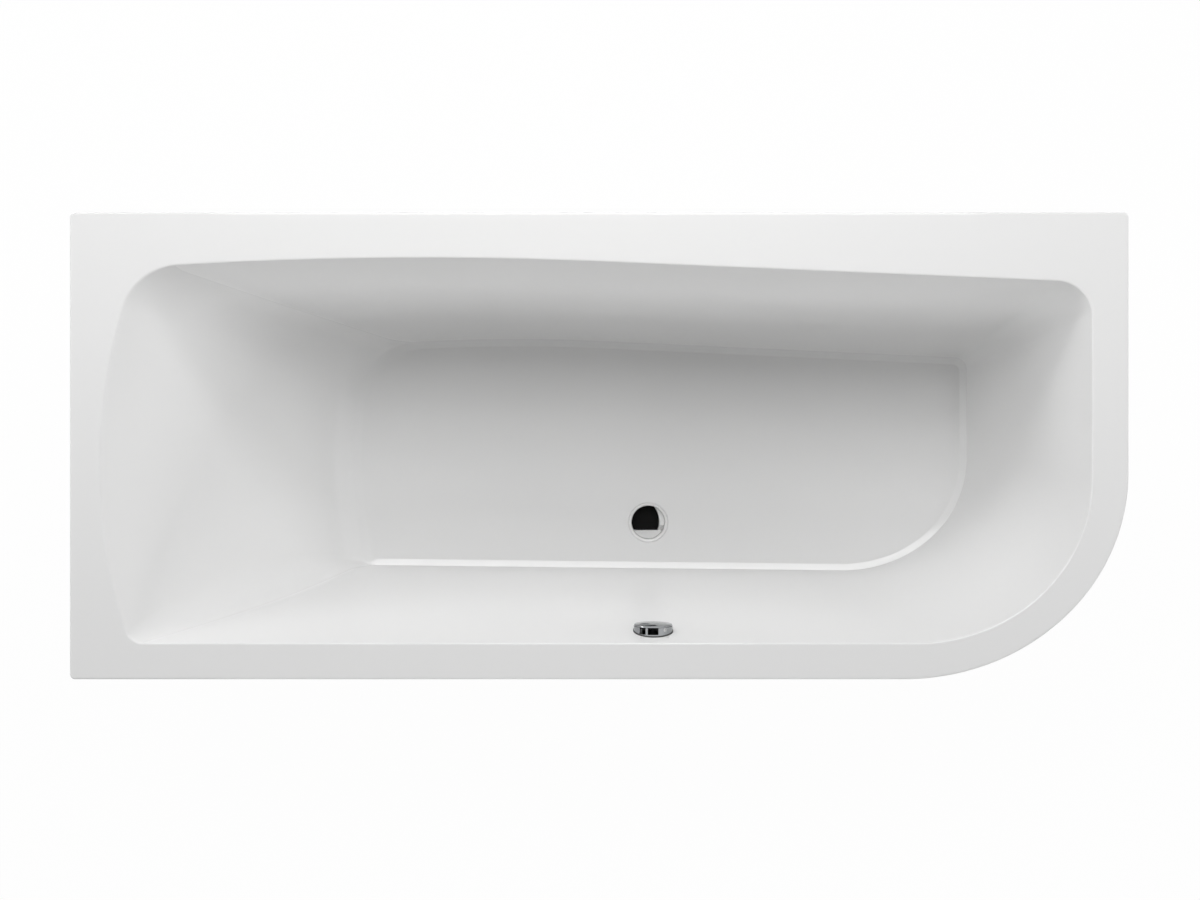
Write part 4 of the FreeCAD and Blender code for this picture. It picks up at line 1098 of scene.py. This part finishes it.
@dataclass
class OverflowHose:
    """Corrugated hose from the overflow housing down to the waste."""

    x: float = 0.09215
    top_y: float = -0.346
    top_z: float = 0.478
    low_y: float = -0.2099
    low_z: float = 0.112
    bend_r: float = 0.105
    root_r: float = 0.0132
    crest_r: float = 0.0154
    bore_r: float = 0.0120
    pitch: float = 0.006
    rib: Pairs = ((0.0, 0.0), (0.18, 0.05), (0.34, 0.6), (0.46, 1.0), (0.72, 1.0), (0.86, 0.55))
    cuff: float = 0.031
    cuff_under: float = 0.0004
    cuff_step: float = 0.001
    bore_steps: int = 40
    sides: int = 40
    crease: float = 50.0

    @property
    def fall(self) -> float:
        """Length of the upright run."""
        return self.top_z - self.low_z - self.bend_r

    @property
    def length(self) -> float:
        """Length of the hose along its middle."""
        return self.fall + self.bend_r * math.pi / 2 + self.low_y - self.top_y - self.bend_r

    def ring(self, distance: float, radius: float) -> Ring:
        """A ring round the middle line.

        Args:
            distance: Distance along the hose.
            radius: Radius of the ring.

        Returns:
            The ring's points.
        """
        turn = min(max((distance - self.fall) / self.bend_r, 0.0), math.pi / 2)
        out = Vector((0, -math.cos(turn), -math.sin(turn)))
        centre = Vector((self.x, self.top_y + self.bend_r, self.low_z + self.bend_r)) + out * self.bend_r
        centre.z += max(self.fall - distance, 0.0)
        centre.y += max(distance - self.fall - self.bend_r * math.pi / 2, 0.0)
        points = []
        for side in range(self.sides):
            angle = 2 * math.pi * side / self.sides
            across = Vector((math.cos(angle), 0, 0))
            points.append(centre + across * radius + out * math.sin(angle) * radius)
        return points

    def stations(self) -> list[tuple[float, float]]:
        """Steps along the outside of the hose, with the rib's shape over and over.

        Returns:
            Distance and radius of each.
        """
        plain = self.crest_r - self.cuff_under
        cuff = self.cuff - self.cuff_step
        ribs = int((self.length - 2 * self.cuff) / self.pitch)
        first = (self.length - ribs * self.pitch) / 2
        found = [(0.0, plain), (cuff, plain)]
        for rib in range(ribs):
            for place, share in self.rib:
                radius = self.root_r + (self.crest_r - self.root_r) * share
                found.append((first + (rib + place) * self.pitch, radius))
        return found + [(self.length - cuff, plain), (self.length, plain)]

    def build(self) -> bpy.types.Object:
        """Model the hose with its ribs and bore.

        Returns:
            The hose.
        """
        rings = [self.ring(distance, radius) for distance, radius in self.stations()]
        for step in range(self.bore_steps, -1, -1):
            rings.append(self.ring(self.length * step / self.bore_steps, self.bore_r))
        hose = loft("ribbed_hose", rings, EndCap.JOINED)
        smooth(hose, self.crease)
        return hose


@dataclass
class ControlCable:
    """Sheathed cable from the knob's crank to the lift lever, with a ferrule at each end."""

    radius: float = 0.0025
    curve_order: int = 3
    curve_steps: int = 16
    round_steps: int = 5
    ferrule_r: float = 0.0036
    ferrule: float = 0.016
    ferrule_sides: int = 24
    ferrule_grip: float = 0.0004
    crimp: float = 0.88
    crease: float = 40.0
    route: Sequence[Triple] = (
        (0.119, -0.346, 0.492), (0.119, -0.346, 0.345), (0.148, -0.338, 0.215), (0.205, -0.290, 0.128),
        (0.238, -0.205, 0.108), (0.205, -0.1479, 0.114), (0.1523, -0.1479, 0.114),
    )

    def build(self) -> bpy.types.Object:
        """Model the cable as a tube on one smooth curve.

        Returns:
            The cable with its ferrules.
        """
        start_fresh()
        curve = bpy.data.curves.new("sheathed_cable", "CURVE")
        curve.dimensions = "3D"
        curve.resolution_u = self.curve_steps
        curve.bevel_depth = self.radius
        curve.bevel_resolution = self.round_steps
        curve.use_fill_caps = True
        spline = curve.splines.new("NURBS")
        spline.points.add(len(self.route) - 1)
        for point, place in zip(spline.points, self.route):
            point.co = (*place, 1.0)
        spline.order_u = self.curve_order
        spline.use_endpoint_u = True
        cable = bpy.data.objects.new("sheathed_cable", curve)
        bpy.context.scene.collection.objects.link(cable)
        activate(cable)
        bpy.ops.object.convert(target="MESH")
        cable = bpy.context.object
        self.add_ferrule(cable, Vector(self.route[0]), Axis.Z, -1.0)
        self.add_ferrule(cable, Vector(self.route[-1]), Axis.X, 1.0)
        smooth(cable, self.crease)
        return cable

    def add_ferrule(self, cable: bpy.types.Object, end: Vector, axis: Axis, way: float) -> None:
        """Add a crimped ferrule to one end of the cable.

        Args:
            cable: The cable.
            end: Place of the end.
            axis: Axis along which the cable leaves it.
            way: Which way along that axis.
        """
        wide, thin = self.ferrule_r, self.radius - self.ferrule_grip
        crimp = wide * self.crimp
        shape = [(0.0, thin), (0.0, wide), (0.40, wide), (0.45, crimp), (0.60, crimp), (0.65, wide)]
        shape += [(0.94, wide), (1.0, crimp), (1.0, thin)]
        profile = [(radius, way * self.ferrule * place) for place, radius in shape]
        ferrule = lathe("ferrule", profile, end, axis, self.ferrule_sides, EndCap.JOINED)
        activate(cable)
        ferrule.select_set(True)
        bpy.ops.object.join()


# The studio


@dataclass(frozen=True)
class Lamp:
    """A soft rectangular light, which need not be mirrored in what it lights."""

    name: str
    place: Triple
    size: tuple[float, float]
    power: float
    mirrored: bool = True


@dataclass
class Studio:
    """A pale floor, soft lights, the strongest above the back edge, and a camera straight overhead."""

    camera_place: Triple = (0.0012, -0.0068, 2.595)
    lens: float = 37.4
    sensor: float = 36.0
    floor_size: float = 14.0
    floor_tone: float = 0.85
    aim: Triple = (0.0, 0.0, 0.4)
    lamps: tuple[Lamp, ...] = (
        Lamp("key_high", (0.0, 1.3, 3.05), (2.8, 0.6), 22.7),
        Lamp("key_low", (0.0, 1.75, 2.75), (2.8, 0.6), 18.5),
        Lamp("key_near", (0.0, 1.65, 1.7), (1.0, 0.4), 11.0),
        Lamp("back_left", (-2.1, 2.1, 1.5), (1.2, 0.8), 19.5),
        Lamp("back_right", (2.1, 2.1, 1.5), (1.2, 0.8), 4.0),
        Lamp("front_low", (0.0, -2.75, 1.5), (2.8, 0.8), 28.0),
        Lamp("head_low", (-2.9, 0.0, 1.5), (1.8, 0.8), 15.0),
        Lamp("foot_low", (2.9, 0.0, 1.5), (1.8, 0.8), 22.5, mirrored=False),
    )
    ambient: float = 0.126
    white_share: float = 0.97

    @staticmethod
    def light_level(graph: Graph) -> Signal:
        """Tell the rays that see the background from those that light the object.

        Args:
            graph: The graph of the world or of the floor.

        Returns:
            One for rays that see it, nought for those that light.
        """
        seen = graph.node("ShaderNodeLightPath", output="Is Camera Ray")
        for kind in ("Is Glossy Ray", "Is Transmission Ray"):
            seen = seen.most(graph.node("ShaderNodeLightPath", output=kind))
        return seen

    def build_world(self) -> None:
        """White where it is seen, and softer where it lights the object."""
        world = bpy.data.worlds.new("studio_air")
        world.use_nodes = True
        graph = Graph(world.node_tree)
        level = self.ambient + self.light_level(graph) * (1.0 - self.ambient)
        shader = graph.node("ShaderNodeBackground", inputs={"Color": (1, 1, 1, 1), "Strength": level})
        graph.node("ShaderNodeOutputWorld", inputs={"Surface": shader})
        bpy.context.scene.world = world

    def build_floor(self) -> None:
        """A wide pale floor that keeps a trace of the shadow."""
        start_fresh()
        bpy.ops.mesh.primitive_plane_add(size=self.floor_size, location=(0, 0, 0))
        floor = bpy.context.object
        floor.name = "studio_floor"
        material = bpy.data.materials.new("studio_floor")
        material.use_nodes = True
        graph = Graph(material.node_tree)
        tone = (self.floor_tone, self.floor_tone, self.floor_tone, 1)
        matt = graph.node("ShaderNodeBsdfDiffuse", inputs={"Color": tone})
        glow = graph.node("ShaderNodeEmission", inputs={"Color": (1, 1, 1, 1), "Strength": 1.0})
        share = self.light_level(graph) * self.white_share
        mixed = graph.node("ShaderNodeMixShader", inputs={0: share, 1: matt, 2: glow})
        graph.node("ShaderNodeOutputMaterial", inputs={"Surface": mixed})
        floor.data.materials.append(material)

    def build_lamps(self) -> None:
        """The soft lights, each turned to the tub."""
        for lamp in self.lamps:
            start_fresh()
            bpy.ops.object.light_add(type="AREA", location=lamp.place)
            light = bpy.context.object
            light.name = lamp.name
            light.data.shape = "RECTANGLE"
            light.data.size, light.data.size_y = lamp.size
            light.data.energy = lamp.power
            light.visible_glossy = lamp.mirrored
            aim = Vector(self.aim) - Vector(lamp.place)
            light.rotation_euler = aim.to_track_quat("-Z", "Y").to_euler()

    def build_camera(self) -> None:
        """The camera, looking straight down with the back edge at the top."""
        start_fresh()
        bpy.ops.object.camera_add(location=self.camera_place, rotation=(0, 0, 0))
        camera = bpy.context.object
        camera.data.lens = self.lens
        camera.data.sensor_width = self.sensor
        bpy.context.scene.camera = camera

    def build(self) -> None:
        """Set up the whole studio."""
        self.build_camera()
        self.build_world()
        self.build_floor()
        self.build_lamps()
        bpy.context.scene.view_settings.view_transform = "Standard"


def dress_solids(frame: dict[str, Any]) -> None:
    """Give every solid that stays in view the finish of its material slot.
    """
    for entry in frame["record"]["subparts"]:
        node = frame["nodes"][entry["node"]]
        finish = SLOT_FINISHES[entry["material_slot"]]
        if not node.material_slots:
            node.data.materials.append(None)
        for slot in node.material_slots:
            slot.material = finish.material()
        LOG.info("%s wears %s", node.name, finish.name)


def middle(node: str) -> Vector:
    """The middle of a solid's box."""
    low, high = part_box(node)
    return (low + high) / 2


def main() -> None:
    """Build the tub's looks piece by piece."""
    logging.basicConfig(level=logging.INFO, format="%(message)s")
    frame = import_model()
    Studio().build()
    dress_solids(frame)

    form = TubForm()
    flange = middle("waste_flange")
    drain = Vector((flange.x, flange.y, 0.0))
    rosette = middle("overflow_rosette")
    overflow = Vector((rosette.x, form.front_y.rim + OVERFLOW_INWARD, rosette.z))

    settle(AcrylicShell(form, drain, overflow).build(), TUB, "acrylic", "acrylic_shell")
    settle(FibreBacking(form, drain, overflow).build(), TUB, "laminate", "glass_fibre_backing")
    settle(OverflowHose().build(), TUB, "hose_plastic", "overflow_hose")
    settle(ControlCable().build(), TUB, "cable_sheath", "control_cable")


if __name__ == "__main__":
    main()
